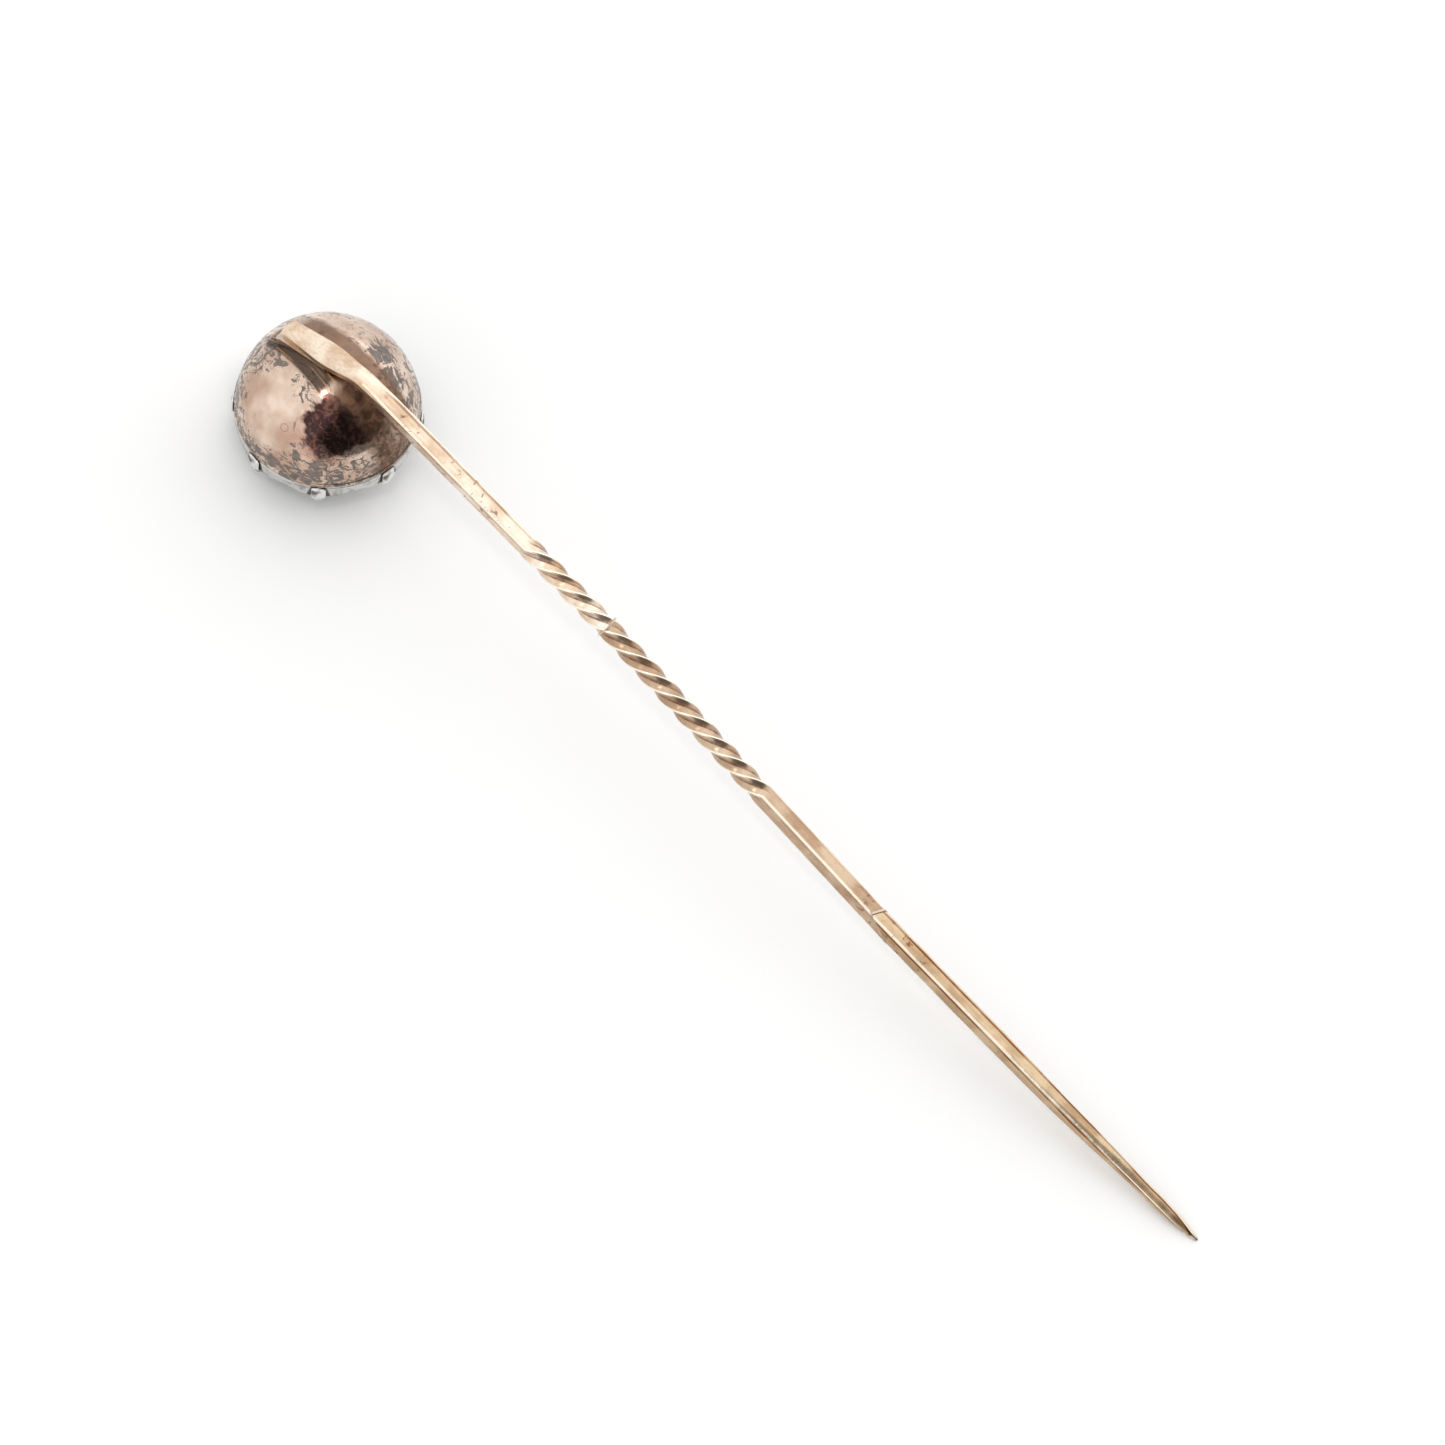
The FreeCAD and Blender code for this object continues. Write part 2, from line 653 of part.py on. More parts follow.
# The chain of frames down the pin, each in the head's frame.  The strap's frame leans with the
# flattened end; the next ones start at the bend, at the repair and at the slanted joint.
strap_level = value("dome_radius") + value("solder_film") + value("strap_thick") / 2
pin_frame = turn(Y, -value("strap_rise")).multiply(shift(value("strap_front"), 0, strap_level))
pin_frame = pin_frame.multiply(turn(Y, value("strap_rise") + value("pin_drop")))

half_diagonal = value("wire_side") / math.sqrt(2)
repair_gap = value("solder_film") + half_diagonal * math.sin(math.radians(value("repair_bend")))
upper_end = value("shank_length") + value("upper_turns") * value("twist_lead")
middle_frame = pin_frame.multiply(shift(x=upper_end + repair_gap))
middle_frame = middle_frame.multiply(turn(Z, -value("repair_bend")))

middle_end = value("lower_turns") * value("twist_lead") + value("middle_length")
point_frame = middle_frame.multiply(shift(x=middle_end)).multiply(turn(Z, value("scarf_bend")))

start_roll = -360 * value("upper_turns")
end_roll = start_roll - 360 * value("lower_turns")

make_back_dome()
make_rim_solder()
make_collet()
make_bearer()
make_claws()
make_stone()
make_foil()
make_pin_strap()
make_strap_solder()
make_pin_middle()
make_twist_solder()
make_scarf_solder()
make_pin_point()
doc.recompute()


def resting_turn():
    """The turn that lays the pin on the noses of two claws behind the stone and on its point."""
    girdle = value("dome_radius") + value("lip_width") - value("collet_wall") - value("seat_clearance")
    nose_radius = girdle - 0.65 * value("claw_reach")
    fall = value("claw_reach") * math.tan(math.radians(value("upper_slope")))
    fall += value("seat_clearance") / math.cos(math.radians(value("upper_slope")))
    nose_level = -value("collet_height") - fall - 0.8 * value("claw_nose")
    half = int(value("claw_count")) // 2
    feet = []
    for number in (half, half + 1):
        angle = math.radians(value("claw_clock") + number * 360 / value("claw_count"))
        feet.append(Vector(nose_radius * math.cos(angle), nose_radius * math.sin(angle), nose_level))
    lean = math.radians(value("file_lean"))
    pivot = value("end_length") - value("file_pivot")
    tip = Vector(pivot + value("file_pivot") * math.cos(lean), value("file_pivot") * math.sin(lean), 0)
    feet.append(point_frame.multVec(tip))
    up = (feet[1] - feet[0]).cross(feet[2] - feet[0]).normalize()
    if up.z < 0:
        up = up.negative()
    across = up.cross(feet[2] - feet[0]).normalize()
    return Placement(Vector(), Rotation(across.cross(up), across, up, "ZXY").inverted())


def move_all(movement):
    for thing in placed:
        thing.Placement = movement.multiply(thing.Placement)
    doc.recompute()


move_all(resting_turn())
boxes = [thing.Shape.optimalBoundingBox(False, False) for thing in sub_parts]
middle_x = (min(box.XMin for box in boxes) + max(box.XMax for box in boxes)) / 2
middle_y = (min(box.YMin for box in boxes) + max(box.YMax for box in boxes)) / 2
move_all(shift(-middle_x, -middle_y, -min(box.ZMin for box in boxes)))

# ---------------------------------------------------------------------------------------------
# Every object has to be sound before anything is written.

for thing in doc.Objects:
    if "Invalid" in thing.State or "Error" in thing.State:
        raise RuntimeError(thing.Name + " failed: " + ", ".join(thing.State))
for thing in sub_parts:
    if thing.Shape.isNull() or not thing.Shape.isValid() or not thing.Shape.Solids:
        raise RuntimeError(thing.Label + " has no sound solid")

os.makedirs("parts", exist_ok=True)
for thing in sub_parts:
    thing.Shape.exportStep(os.path.join("parts", thing.Label + ".step"))
    print(thing.Label, round(thing.Shape.Volume, 3))
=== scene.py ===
import math

import bpy
from mathutils import Euler, Matrix, Vector, noise


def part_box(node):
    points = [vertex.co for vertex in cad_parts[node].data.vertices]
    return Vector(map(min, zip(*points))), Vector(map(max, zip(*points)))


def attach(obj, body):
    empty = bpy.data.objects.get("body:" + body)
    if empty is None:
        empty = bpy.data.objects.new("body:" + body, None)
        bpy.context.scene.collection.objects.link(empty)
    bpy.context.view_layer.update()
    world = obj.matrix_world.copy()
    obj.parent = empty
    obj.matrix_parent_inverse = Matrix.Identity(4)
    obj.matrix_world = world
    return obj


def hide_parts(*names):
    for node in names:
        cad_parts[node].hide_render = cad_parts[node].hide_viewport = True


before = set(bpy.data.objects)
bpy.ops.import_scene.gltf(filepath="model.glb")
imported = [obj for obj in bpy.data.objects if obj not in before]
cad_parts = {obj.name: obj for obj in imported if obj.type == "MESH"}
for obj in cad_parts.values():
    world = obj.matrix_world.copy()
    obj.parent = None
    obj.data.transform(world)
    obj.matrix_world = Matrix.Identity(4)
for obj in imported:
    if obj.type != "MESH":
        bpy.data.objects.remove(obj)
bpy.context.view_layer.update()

# ---------------------------------------------------------------------------------------------
# Table and light tent.
# The pin lies on smooth white card inside a cloth tent. One end of the tent is open to a dark
# room, which polished gold mirrors. A small lamp stands over the lens, a soft one to the side.

MM = 0.001
CARD_FIBRE = 6 * MM
CARD_HALF = 1.2
TENT_WHITE = 1.12
ROOM_DARK = 0.16
OPENING_EDGE = 0.40
OPENING_HALF_WIDTH = 0.66
OPENING_SOFTNESS = 0.06


def linear(hex_colour):
    """An sRGB hex colour as the linear values that shaders take."""
    channels = [int(hex_colour[i:i + 2], 16) / 255 for i in (1, 3, 5)]
    return [c / 12.92 if c <= 0.04045 else ((c + 0.055) / 1.055) ** 2.4 for c in channels] + [1.0]


def add(tree, kind, *values, **settings):
    """Adds a shader node. Values fill its inputs in order; a setting names an input or a property.

    A node among them is linked by the first output that it has in use.
    """
    node = tree.nodes.new("ShaderNode" + kind)
    names = {socket.name.lower().replace(" ", "_") for socket in node.inputs}
    for name, setting in settings.items():
        if name not in names:
            setattr(node, name, setting)
    sockets = [socket for socket in node.inputs if socket.enabled]
    named = {socket.name.lower().replace(" ", "_"): socket for socket in reversed(sockets)}
    pairs = list(zip(sockets, values))
    pairs += [(named[name], setting) for name, setting in settings.items() if name in names]
    for socket, value in pairs:
        if isinstance(value, bpy.types.Node):
            value = next(output for output in value.outputs if output.enabled)
        if isinstance(value, bpy.types.NodeSocket):
            tree.links.new(value, socket)
        else:
            socket.default_value = value
    return node


def new_material(name):
    """An empty material, and the tree to fill."""
    material = bpy.data.materials.new(name)
    material.use_nodes = True
    material.node_tree.nodes.clear()
    return material, material.node_tree


card_mesh = bpy.data.meshes.new("card")
card_mesh.from_pydata([(-CARD_HALF, -CARD_HALF, 0), (CARD_HALF, -CARD_HALF, 0),
                       (CARD_HALF, CARD_HALF, 0), (-CARD_HALF, CARD_HALF, 0)], [], [(0, 1, 2, 3)])
card = bpy.data.objects.new("card", card_mesh)
bpy.context.scene.collection.objects.link(card)

# Coated card: matt, almost white, with the faint cloudiness of its fibres.
white_card, tree = new_material("coated_white_card")
place = add(tree, "TexCoord").outputs["Object"]
fibre = add(tree, "TexNoise", place, scale=1 / CARD_FIBRE, detail=4.0)
paper = add(tree, "Mix", fibre, linear("#FBFBFA"), linear("#FDFDFD"), data_type="RGBA")
matt = add(tree, "BsdfPrincipled", base_color=paper, roughness=0.8, specular_ior_level=0.1)
add(tree, "OutputMaterial", surface=matt)
card_mesh.materials.append(white_card)

scene = bpy.context.scene
scene.view_settings.view_transform = "Standard"

# Camera: high over the card, leaning back a little, and turned so that the pin runs down to
# the right.
CAMERA_ELEVATION = 65.64
CAMERA_AZIMUTH = 2.30
CAMERA_ROLL = 41.37
CAMERA_DISTANCE = 205.7 * MM
CAMERA_TARGET = Vector((-2.77, 3.41, 0.0)) * MM

rise, swing, roll = (math.radians(v) for v in (CAMERA_ELEVATION, CAMERA_AZIMUTH, CAMERA_ROLL))
back = Vector((math.cos(rise) * math.sin(swing), -math.cos(rise) * math.cos(swing), math.sin(rise)))
level = Vector((0, 0, 1)).cross(back).normalized()
right = level * math.cos(roll) + back.cross(level) * math.sin(roll)
upward = back.cross(right)
camera = bpy.data.objects.new("camera", bpy.data.cameras.new("camera"))
camera.data.lens = 99.47
camera.data.sensor_width = 36
camera.data.clip_start = 0.01
camera.matrix_world = Matrix.Translation(CAMERA_TARGET + back * CAMERA_DISTANCE) @ Matrix(
    (right, upward, back)).transposed().to_4x4()
scene.collection.objects.link(camera)
scene.camera = camera

world = bpy.data.worlds.new("tent")
scene.world = world
world.use_nodes = True
tree = world.node_tree
tree.nodes.clear()
sight = add(tree, "TexCoord").outputs["Generated"]
down_the_pin = (right - upward).normalized()
beside_the_pin = (right + upward).normalized()
along = add(tree, "VectorMath", sight, down_the_pin, operation="DOT_PRODUCT")
beside = add(tree, "VectorMath", sight, beside_the_pin, operation="DOT_PRODUCT")
either_side = add(tree, "Math", beside, operation="ABSOLUTE")
past_edge = add(tree, "MapRange", along, OPENING_EDGE - OPENING_SOFTNESS,
                OPENING_EDGE + OPENING_SOFTNESS)
between_sides = add(tree, "MapRange", either_side, OPENING_HALF_WIDTH + OPENING_SOFTNESS,
                    OPENING_HALF_WIDTH - OPENING_SOFTNESS)
hole = add(tree, "Math", past_edge, between_sides, operation="MULTIPLY")
cloth = add(tree, "MapRange", hole, 0.0, 1.0, TENT_WHITE, ROOM_DARK)
tent = add(tree, "Background", linear("#FFFFFF"), cloth)
backdrop = add(tree, "Background", linear("#FCFCFC"), 1.0)
in_camera = add(tree, "LightPath").outputs["Is Camera Ray"]
add(tree, "OutputWorld", surface=add(tree, "MixShader", in_camera, tent, backdrop))

# Each lamp's direction, distance and width in metres, and power in watts.
LENS_LAMP_ABOVE = math.radians(11)
above_lens = back * math.cos(LENS_LAMP_ABOVE) + upward * math.sin(LENS_LAMP_ABOVE)
lamps = (("lens_lamp", above_lens, 0.5, 0.036, 0.13),
         ("soft_lamp", Vector((-0.1, 0.75, 0.9)), 0.8, 1.1, 1.15))
for name, away, distance, width, power in lamps:
    lamp = bpy.data.lights.new(name, "AREA")
    lamp.size = width
    lamp.energy = power
    lamp_object = bpy.data.objects.new(name, lamp)
    scene.collection.objects.link(lamp_object)
    lamp_object.location = away.normalized() * distance
    lamp_object.rotation_mode = "QUATERNION"
    lamp_object.rotation_quaternion = (-away).to_track_quat("-Z", "Y")

# ---------------------------------------------------------------------------------------------
# Back cup.
# A hemisphere of thin rose gold, raised over a stake with a hammer and never quite smooth, with
# a narrow lip at its edge. Worn bright on top, with tarnish left round the rim. Beside the strap
# there is painted shade and a painted reflection, the fire stain is partly a painted dark
# reflection, and the brown under the wire is painted shade and dark reflection.

DOME_RADIUS = 4.68
DOME_WALL = 0.35
LIP_WIDTH = 0.05
LIP_HEIGHT = 0.22
DENT_DEPTH = 0.016
DENT_WIDTH = 1.5
CUP_POINTS = 144
CUP_STEPS = 60
CUP_ENDS = math.radians(86.8)
# Where the tarnish lies and where it is rubbed off: azimuth and tilt on the cup in degrees, then
# the distances in millimetres within which it is full and beyond which there is none.
TARNISHED = ((-152, 40, 0.5, 1.9), (36, 44, 0.5, 1.6), (62, 37, 0.5, 1.5), (-92, 27, 0.1, 1.6),
             (-58, 77, 0.4, 1.8), (-165, 62, 0.6, 2.2), (20, 62, 0.3, 2.2), (-100, 80, 0.2, 1.6),
             (160, 60, 0.3, 2.0))
RUBBED = (-104, 50, 0.8, 2.4)
WEAR_GRAIN = 1.6
STAIN_AND_REFLECTION_GRAIN = 0.9
CHAR_GRAIN = 0.55
FILM_GRAIN = 0.62
VEIN_GRAIN = 0.9
FILM_CLOUDS = 0.3
SHADE_MOTTLE_GRAIN = 0.4
RIPPLE_GRAIN = 0.7
UNDER_WIRE_SHADE_GRAIN = 0.5
SCUFF_GRAIN = 0.5
HEAD_TURN = Euler([math.radians(angle) for angle in (2.698, -11.087, 0.455)])

rim_low, rim_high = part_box("rim_solder")
head = Matrix.LocRotScale((rim_low + rim_high) / 2, HEAD_TURN, None)


def skin(name, rings, place, replaced=(), closed=False, crease=40):
    """A piece over a run of rings, each a loop of points in millimetres, with filled ends.

    Its points in its own frame are kept as local_mm, which its material's patterns follow. Where
    it would dip below the table, it is worn flat.
    """
    mesh = bpy.data.meshes.new(name)
    count = len(rings[0])
    faces = []
    for step in range(len(rings) if closed else len(rings) - 1):
        first = step * count
        second = (step + 1) % len(rings) * count
        for corner in range(count):
            following = (corner + 1) % count
            faces.append((first + corner, first + following, second + following, second + corner))
    if not closed:
        faces.append(tuple(reversed(range(count))))
        faces.append(tuple(range(len(rings) * count - count, len(rings) * count)))
    points = [Vector(point) for ring in rings for point in ring]
    placed = [place @ (point * MM) for point in points]
    for point in placed:
        point.z = max(point.z, 0.0)
    mesh.from_pydata(placed, [], faces)
    local = mesh.attributes.new("local_mm", "FLOAT_VECTOR", "POINT")
    local.data.foreach_set("vector", [number for point in points for number in point])
    mesh.update()
    middle = sum((vertex.co for vertex in mesh.vertices), Vector()) / len(mesh.vertices)
    volume = sum((face.center - middle).dot(face.normal) * face.area for face in mesh.polygons)
    if volume < 0:
        mesh.flip_normals()
    mesh.shade_smooth()
    mesh.set_sharp_from_angle(angle=math.radians(crease))
    piece = bpy.data.objects.new(name, mesh)
    scene.collection.objects.link(piece)
    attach(piece, "root")
    for node in replaced:
        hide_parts(node)
    return piece


def circle(radius, height):
    """A level ring of points round the head's own axis."""
    turns = [math.tau * i / CUP_POINTS for i in range(CUP_POINTS)]
    return [(radius * math.cos(turn), radius * math.sin(turn), height) for turn in turns]


def hammered(point):
    """A point of the cup's skin, moved in or out a little by the marks of the hammer."""
    where = Vector(point)
    dent = noise.noise(where / DENT_WIDTH) + 0.5 * noise.noise(where / (0.45 * DENT_WIDTH))
    fade = min(1.0, max(0.0, where.z - LIP_HEIGHT) / 0.8)
    return where * (1 + DENT_DEPTH * dent * fade / DOME_RADIUS)


outer_rings = []
for step in range(1, CUP_STEPS + 1):
    angle = CUP_ENDS * step / CUP_STEPS
    ring = circle(DOME_RADIUS * math.sin(angle), DOME_RADIUS * math.cos(angle))
    outer_rings.append([hammered(point) for point in ring])
band = DOME_RADIUS + LIP_WIDTH
outer_rings += [circle(band - 0.015, LIP_HEIGHT), circle(band, LIP_HEIGHT - 0.04), circle(band, 0.03),
                circle(band - 0.02, 0)]
inner = DOME_RADIUS - DOME_WALL
inner_rings = [circle(inner * math.cos(math.radians(v)), inner * math.sin(math.radians(v)))
               for v in range(0, 90, 6)]
cup = skin("raised_cup", outer_rings + inner_rings, head, ["back_dome"])


def raised_rose_gold():
    """Rose gold, polished by wear: clear mirror-like beige, with sharp-edged films of tarnish."""
    material, tree = new_material("raised_rose_gold")
    place = add(tree, "Attribute", attribute_name="local_mm").outputs["Vector"]
    along, across, height = add(tree, "SeparateXYZ", place).outputs

    def near(azimuth, tilt, inside, outside):
        """1 within a distance of a place on the cup, and 0 beyond another."""
        azimuth, tilt = math.radians(azimuth), math.radians(tilt)
        middle = DOME_RADIUS * Vector((math.sin(tilt) * math.cos(azimuth),
                                       math.sin(tilt) * math.sin(azimuth), math.cos(tilt)))
        gap = add(tree, "VectorMath", place, middle, operation="DISTANCE")
        return add(tree, "MapRange", gap, outside, inside)

    wear = add(tree, "TexNoise", place, scale=1 / WEAR_GRAIN, detail=5.0)
    wear = add(tree, "MapRange", wear, 0.36, 0.62)
    gold = add(tree, "Mix", wear, linear("#E6D0BE"), linear("#BFA18D"), data_type="RGBA")

    # A fire stain, nearly black with red in it, left where the cup was heated for soldering. The same
    # dark patch is also a painted reflection of the dark side by the camera, which the mirror-like cup
    # would show there.
    stain_and_dark_reflection = add(tree, "Math", near(-44, 42, 0.0, 3.1), near(-20, 40, 0.0, 3.0), operation="MAXIMUM")
    ragged = add(tree, "TexNoise", place, scale=1 / STAIN_AND_REFLECTION_GRAIN, detail=6.0, distortion=1.0)
    ragged = add(tree, "MapRange", ragged, 0.3, 0.7, -0.12, 0.12)
    stain_and_dark_reflection = add(tree, "Math", stain_and_dark_reflection, ragged, operation="ADD")
    stain_and_dark_reflection = add(tree, "MapRange", stain_and_dark_reflection, 0.45, 0.52)
    charring = add(tree, "TexNoise", place, scale=1 / CHAR_GRAIN, detail=6.0, distortion=1.2)
    charring = add(tree, "MapRange", charring, 0.5, 0.62)
    stain_and_reflection_tone = add(tree, "Mix", charring, linear("#45302F"), linear("#775046"), data_type="RGBA")
    glow = add(tree, "Math", near(-54, 54, 0.3, 1.9), 0.75, operation="MULTIPLY")
    colour = add(tree, "Mix", glow, gold, linear("#A8685A"), data_type="RGBA")
    colour = add(tree, "Mix", stain_and_dark_reflection, colour, stain_and_reflection_tone, data_type="RGBA")

    # The film of tarnish: islands with sharp edges, thick by the rim and thin on the worn crown.
    tarnished = add(tree, "MapRange", height, 3.8, 0.4, 0.34, 0.93)
    for spot in TARNISHED:
        tarnished = add(tree, "Math", tarnished, near(*spot), operation="MAXIMUM")
    tarnished = add(tree, "Math", tarnished, near(*RUBBED), operation="SUBTRACT", use_clamp=True)
    threshold = add(tree, "MapRange", tarnished, 0.0, 1.0, 0.68, 0.455)
    drawn_out = add(tree, "Mapping", place, rotation=(0.0, 0.0, 0.7), scale=(0.75, 1.3, 1.3))
    islands = add(tree, "TexNoise", drawn_out, scale=1 / FILM_GRAIN, detail=9.0, roughness=0.66,
                  distortion=1.5)
    over = add(tree, "Math", islands, threshold, operation="SUBTRACT")
    film = add(tree, "MapRange", over, 0.0, 0.018)
    off_stain_and_reflection = add(tree, "MapRange", stain_and_dark_reflection, 0.0, 1.0, 1.0, 0.3)
    film = add(tree, "Math", film, off_stain_and_reflection, operation="MULTIPLY")
    from_edge = add(tree, "Math", over, operation="ABSOLUTE")
    outline = add(tree, "MapRange", from_edge, 0.0, 0.014, 1.0, 0.0)
    outline_share = add(tree, "MapRange", stain_and_dark_reflection, 0.0, 1.0, 0.6, 0.2)
    outline = add(tree, "Math", outline, outline_share, operation="MULTIPLY")
    veins = add(tree, "TexNoise", place, scale=1 / VEIN_GRAIN, detail=6.0, distortion=2.5)
    veins = add(tree, "Math", veins, 0.5, operation="SUBTRACT")
    veins = add(tree, "Math", veins, operation="ABSOLUTE")
    veins = add(tree, "MapRange", veins, 0.016, 0.004)
    vein_share = add(tree, "MapRange", tarnished, 0.1, 0.6, 0.0, 0.85)
    veins = add(tree, "Math", veins, vein_share, operation="MULTIPLY")
    cloudy = add(tree, "TexNoise", place, scale=1 / FILM_CLOUDS, detail=4.0)
    film_tone = add(tree, "Mix", cloudy, linear("#574E49"), linear("#978C85"), data_type="RGBA")
    colour = add(tree, "Mix", veins, colour, linear("#7B6A60"), data_type="RGBA")
    colour = add(tree, "Mix", film, colour, film_tone, data_type="RGBA")
    colour = add(tree, "Mix", outline, colour, linear("#5A4C45"), data_type="RGBA")

    # Painted shade along the strap's upper side, where it stands over the cup, and below the strap a
    # painted reflection of its dark underside: a wedge with light gold streaks in it.
    uneven = add(tree, "TexNoise", place, scale=1 / RIPPLE_GRAIN, detail=4.0)
    uneven = add(tree, "Math", uneven, 0.5, across, operation="MULTIPLY_ADD")
    painted_shade_above_strap = add(tree, "MapRange", uneven, 2.2, 1.9)
    wedge_line = add(tree, "Math", along, 0.2, across, operation="MULTIPLY_ADD")
    painted_strap_reflection = add(tree, "MapRange", wedge_line, -1.56, -1.42)
    for side, start, end in ((across, 0.2, 0.5), (along, -3.3, -2.4)):
        bound = add(tree, "MapRange", side, start, end)
        painted_shade_above_strap = add(tree, "Math", painted_shade_above_strap, bound, operation="MULTIPLY")
    for side, start, end in ((across, 0.5, 0.2), (along, 1.05, 0.75), (along, -3.7, -3.4)):
        bound = add(tree, "MapRange", side, start, end)
        painted_strap_reflection = add(tree, "Math", painted_strap_reflection, bound, operation="MULTIPLY")
    over_streaks = add(tree, "Math", wedge_line, 5.0, operation="MULTIPLY")
    down_streaks = add(tree, "Math", along, 0.35, operation="MULTIPLY")
    streaks = add(tree, "CombineXYZ", over_streaks, down_streaks)
    streaks = add(tree, "TexNoise", streaks, scale=1.0, detail=3.0)
    streaks = add(tree, "MapRange", streaks, 0.54, 0.66)
    strap_reflection_tone = add(tree, "Mix", streaks, linear("#43362E"), linear("#B98C63"), data_type="RGBA")
    shade_mottle = add(tree, "TexNoise", place, scale=1 / SHADE_MOTTLE_GRAIN, detail=3.0)
    strap_shade_tone = add(tree, "Mix", shade_mottle, linear("#5E4639"), linear("#94745F"), data_type="RGBA")
    share = add(tree, "Math", painted_strap_reflection, 0.92, operation="MULTIPLY")
    colour = add(tree, "Mix", share, colour, strap_reflection_tone, data_type="RGBA")
    share = add(tree, "Math", painted_shade_above_strap, 0.9, operation="MULTIPLY")
    colour = add(tree, "Mix", share, colour, strap_shade_tone, data_type="RGBA")

    # Painted shade and painted dark reflection on the cup under the wire: mottled brown, and dull
    # enough to hide its real mirror image.
    from_wire = add(tree, "Math", across, 0.5, operation="ADD")
    from_wire = add(tree, "Math", from_wire, operation="ABSOLUTE")
    beside_wire = add(tree, "MapRange", from_wire, 1.1, 0.5)
    past_strap = add(tree, "MapRange", along, 0.7, 1.6)
    under_wire = add(tree, "Math", beside_wire, past_strap, operation="MULTIPLY")
    under_wire_shade = add(tree, "TexNoise", place, scale=1 / UNDER_WIRE_SHADE_GRAIN, detail=5.0, distortion=1.0)
    under_wire_shade = add(tree, "MapRange", under_wire_shade, 0.4, 0.6)
    under_wire_shade = add(tree, "Mix", under_wire_shade, linear("#5A4538"), linear("#8E6E57"), data_type="RGBA")
    share = add(tree, "Math", under_wire, 0.85, operation="MULTIPLY")
    colour = add(tree, "Mix", share, colour, under_wire_shade, data_type="RGBA")

    # A small round pit on the clean side.
    from_ring = add(tree, "Math", near(-85, 51, 0.0, 0.6), 0.66, operation="SUBTRACT")
    from_ring = add(tree, "Math", from_ring, operation="ABSOLUTE")
    ring = add(tree, "MapRange", from_ring, 0.08, 0.01, 0.0, 0.6)
    colour = add(tree, "Mix", ring, colour, linear("#8E6F5E"), data_type="RGBA")

    scuffs = add(tree, "TexNoise", place, scale=1 / SCUFF_GRAIN, detail=6.0)
    roughness = add(tree, "MapRange", scuffs, 0.3, 0.7, 0.08, 0.18)
    beside_strap = add(tree, "Math", painted_strap_reflection, painted_shade_above_strap, operation="MAXIMUM")
    for dull, more in ((film, 0.2), (beside_strap, 0.15), (under_wire, 0.3)):
        roughness = add(tree, "Math", dull, more, roughness, operation="MULTIPLY_ADD")
    ripple = add(tree, "TexNoise", place, scale=1 / RIPPLE_GRAIN, detail=6.0)
    bump = add(tree, "Bump", height=ripple, strength=0.55, distance=0.02 * MM)
    bump = add(tree, "Bump", height=film, strength=0.5, distance=0.006 * MM, normal=bump)
    polished = add(tree, "BsdfPrincipled", base_color=colour, metallic=1.0, roughness=roughness,
                   normal=bump)
    add(tree, "OutputMaterial", surface=polished)
    return material


cup.data.materials.append(raised_rose_gold())

# ---------------------------------------------------------------------------------------------
# Silver collet, its solder seam and the seat ring inside it.
# A plain band of silver, filed into a low arch between each two claws and soldered to the cup.
# Handling keeps it grey-white on the outside. Beside the claws it is painted black, as sulphur
# blackening and as painted shade in the arches.

COLLET_HEIGHT = 1.0
COLLET_WALL = 0.42
SEAM = 0.06
ARCH_RADIUS = 1.5
ARCH_RISE = 0.3
CLAW_COUNT = 8
CLAW_CLOCK = -9
CLAW_WIDTH = 0.8
COLLET_STEPS = 320
OXIDE_GRAIN = 0.5
GIRDLE = band - COLLET_WALL - 0.05


def worn_silver(name, light, dark, beside_claws=False, cad_node=False):
    """Silver with its oxide left in the corners: pale grey rubbed metal, and with beside_claws a
    painted shade, black with oxide, beside each claw.
    """
    material, tree = new_material(name)
    if cad_node:
        place = add(tree, "TexCoord").outputs["Object"]
        grain = OXIDE_GRAIN * MM
    else:
        place = add(tree, "Attribute", attribute_name="local_mm").outputs["Vector"]
        grain = OXIDE_GRAIN
    mottle = add(tree, "TexNoise", place, scale=1 / grain, detail=6.0)
    oxide = add(tree, "MapRange", mottle, 0.5, 0.68)
    if beside_claws:
        # Painted shade with oxide: black round each claw's root, wider towards the band's free edge.
        out, aside, height = add(tree, "SeparateXYZ", place).outputs
        angle = add(tree, "Math", aside, out, operation="ARCTAN2")
        first_claw = math.radians(360 - CLAW_CLOCK + 180 / CLAW_COUNT)
        angle = add(tree, "Math", angle, first_claw, operation="ADD")
        angle = add(tree, "Math", angle, math.tau / CLAW_COUNT, operation="MODULO")
        angle = add(tree, "Math", angle, math.pi / CLAW_COUNT, operation="SUBTRACT")
        angle = add(tree, "Math", angle, operation="ABSOLUTE")
        angle = add(tree, "Math", height, 0.24 / band, angle, operation="MULTIPLY_ADD")
        corner = add(tree, "MapRange", angle, (CLAW_WIDTH / 2 + 0.04) / band,
                     (CLAW_WIDTH / 2 - 0.06) / band)
        faint = add(tree, "Math", oxide, 0.5, operation="MULTIPLY")
        oxide = add(tree, "Math", corner, faint, operation="MAXIMUM")
    colour = add(tree, "Mix", oxide, linear(light), linear(dark), data_type="RGBA")
    roughness = add(tree, "MapRange", oxide, 0.0, 1.0, 0.24, 0.5)
    scratch = add(tree, "Bump", height=mottle, strength=0.4, distance=0.02 * MM)
    metal = add(tree, "BsdfPrincipled", base_color=colour, metallic=1.0, roughness=roughness,
                normal=scratch)
    add(tree, "OutputMaterial", surface=metal)
    return material


def dress(nodes, material):
    """Gives the solids of these nodes a material in place of the plain one they come with."""
    for node in nodes:
        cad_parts[node].data.materials.clear()
        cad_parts[node].data.materials.append(material)


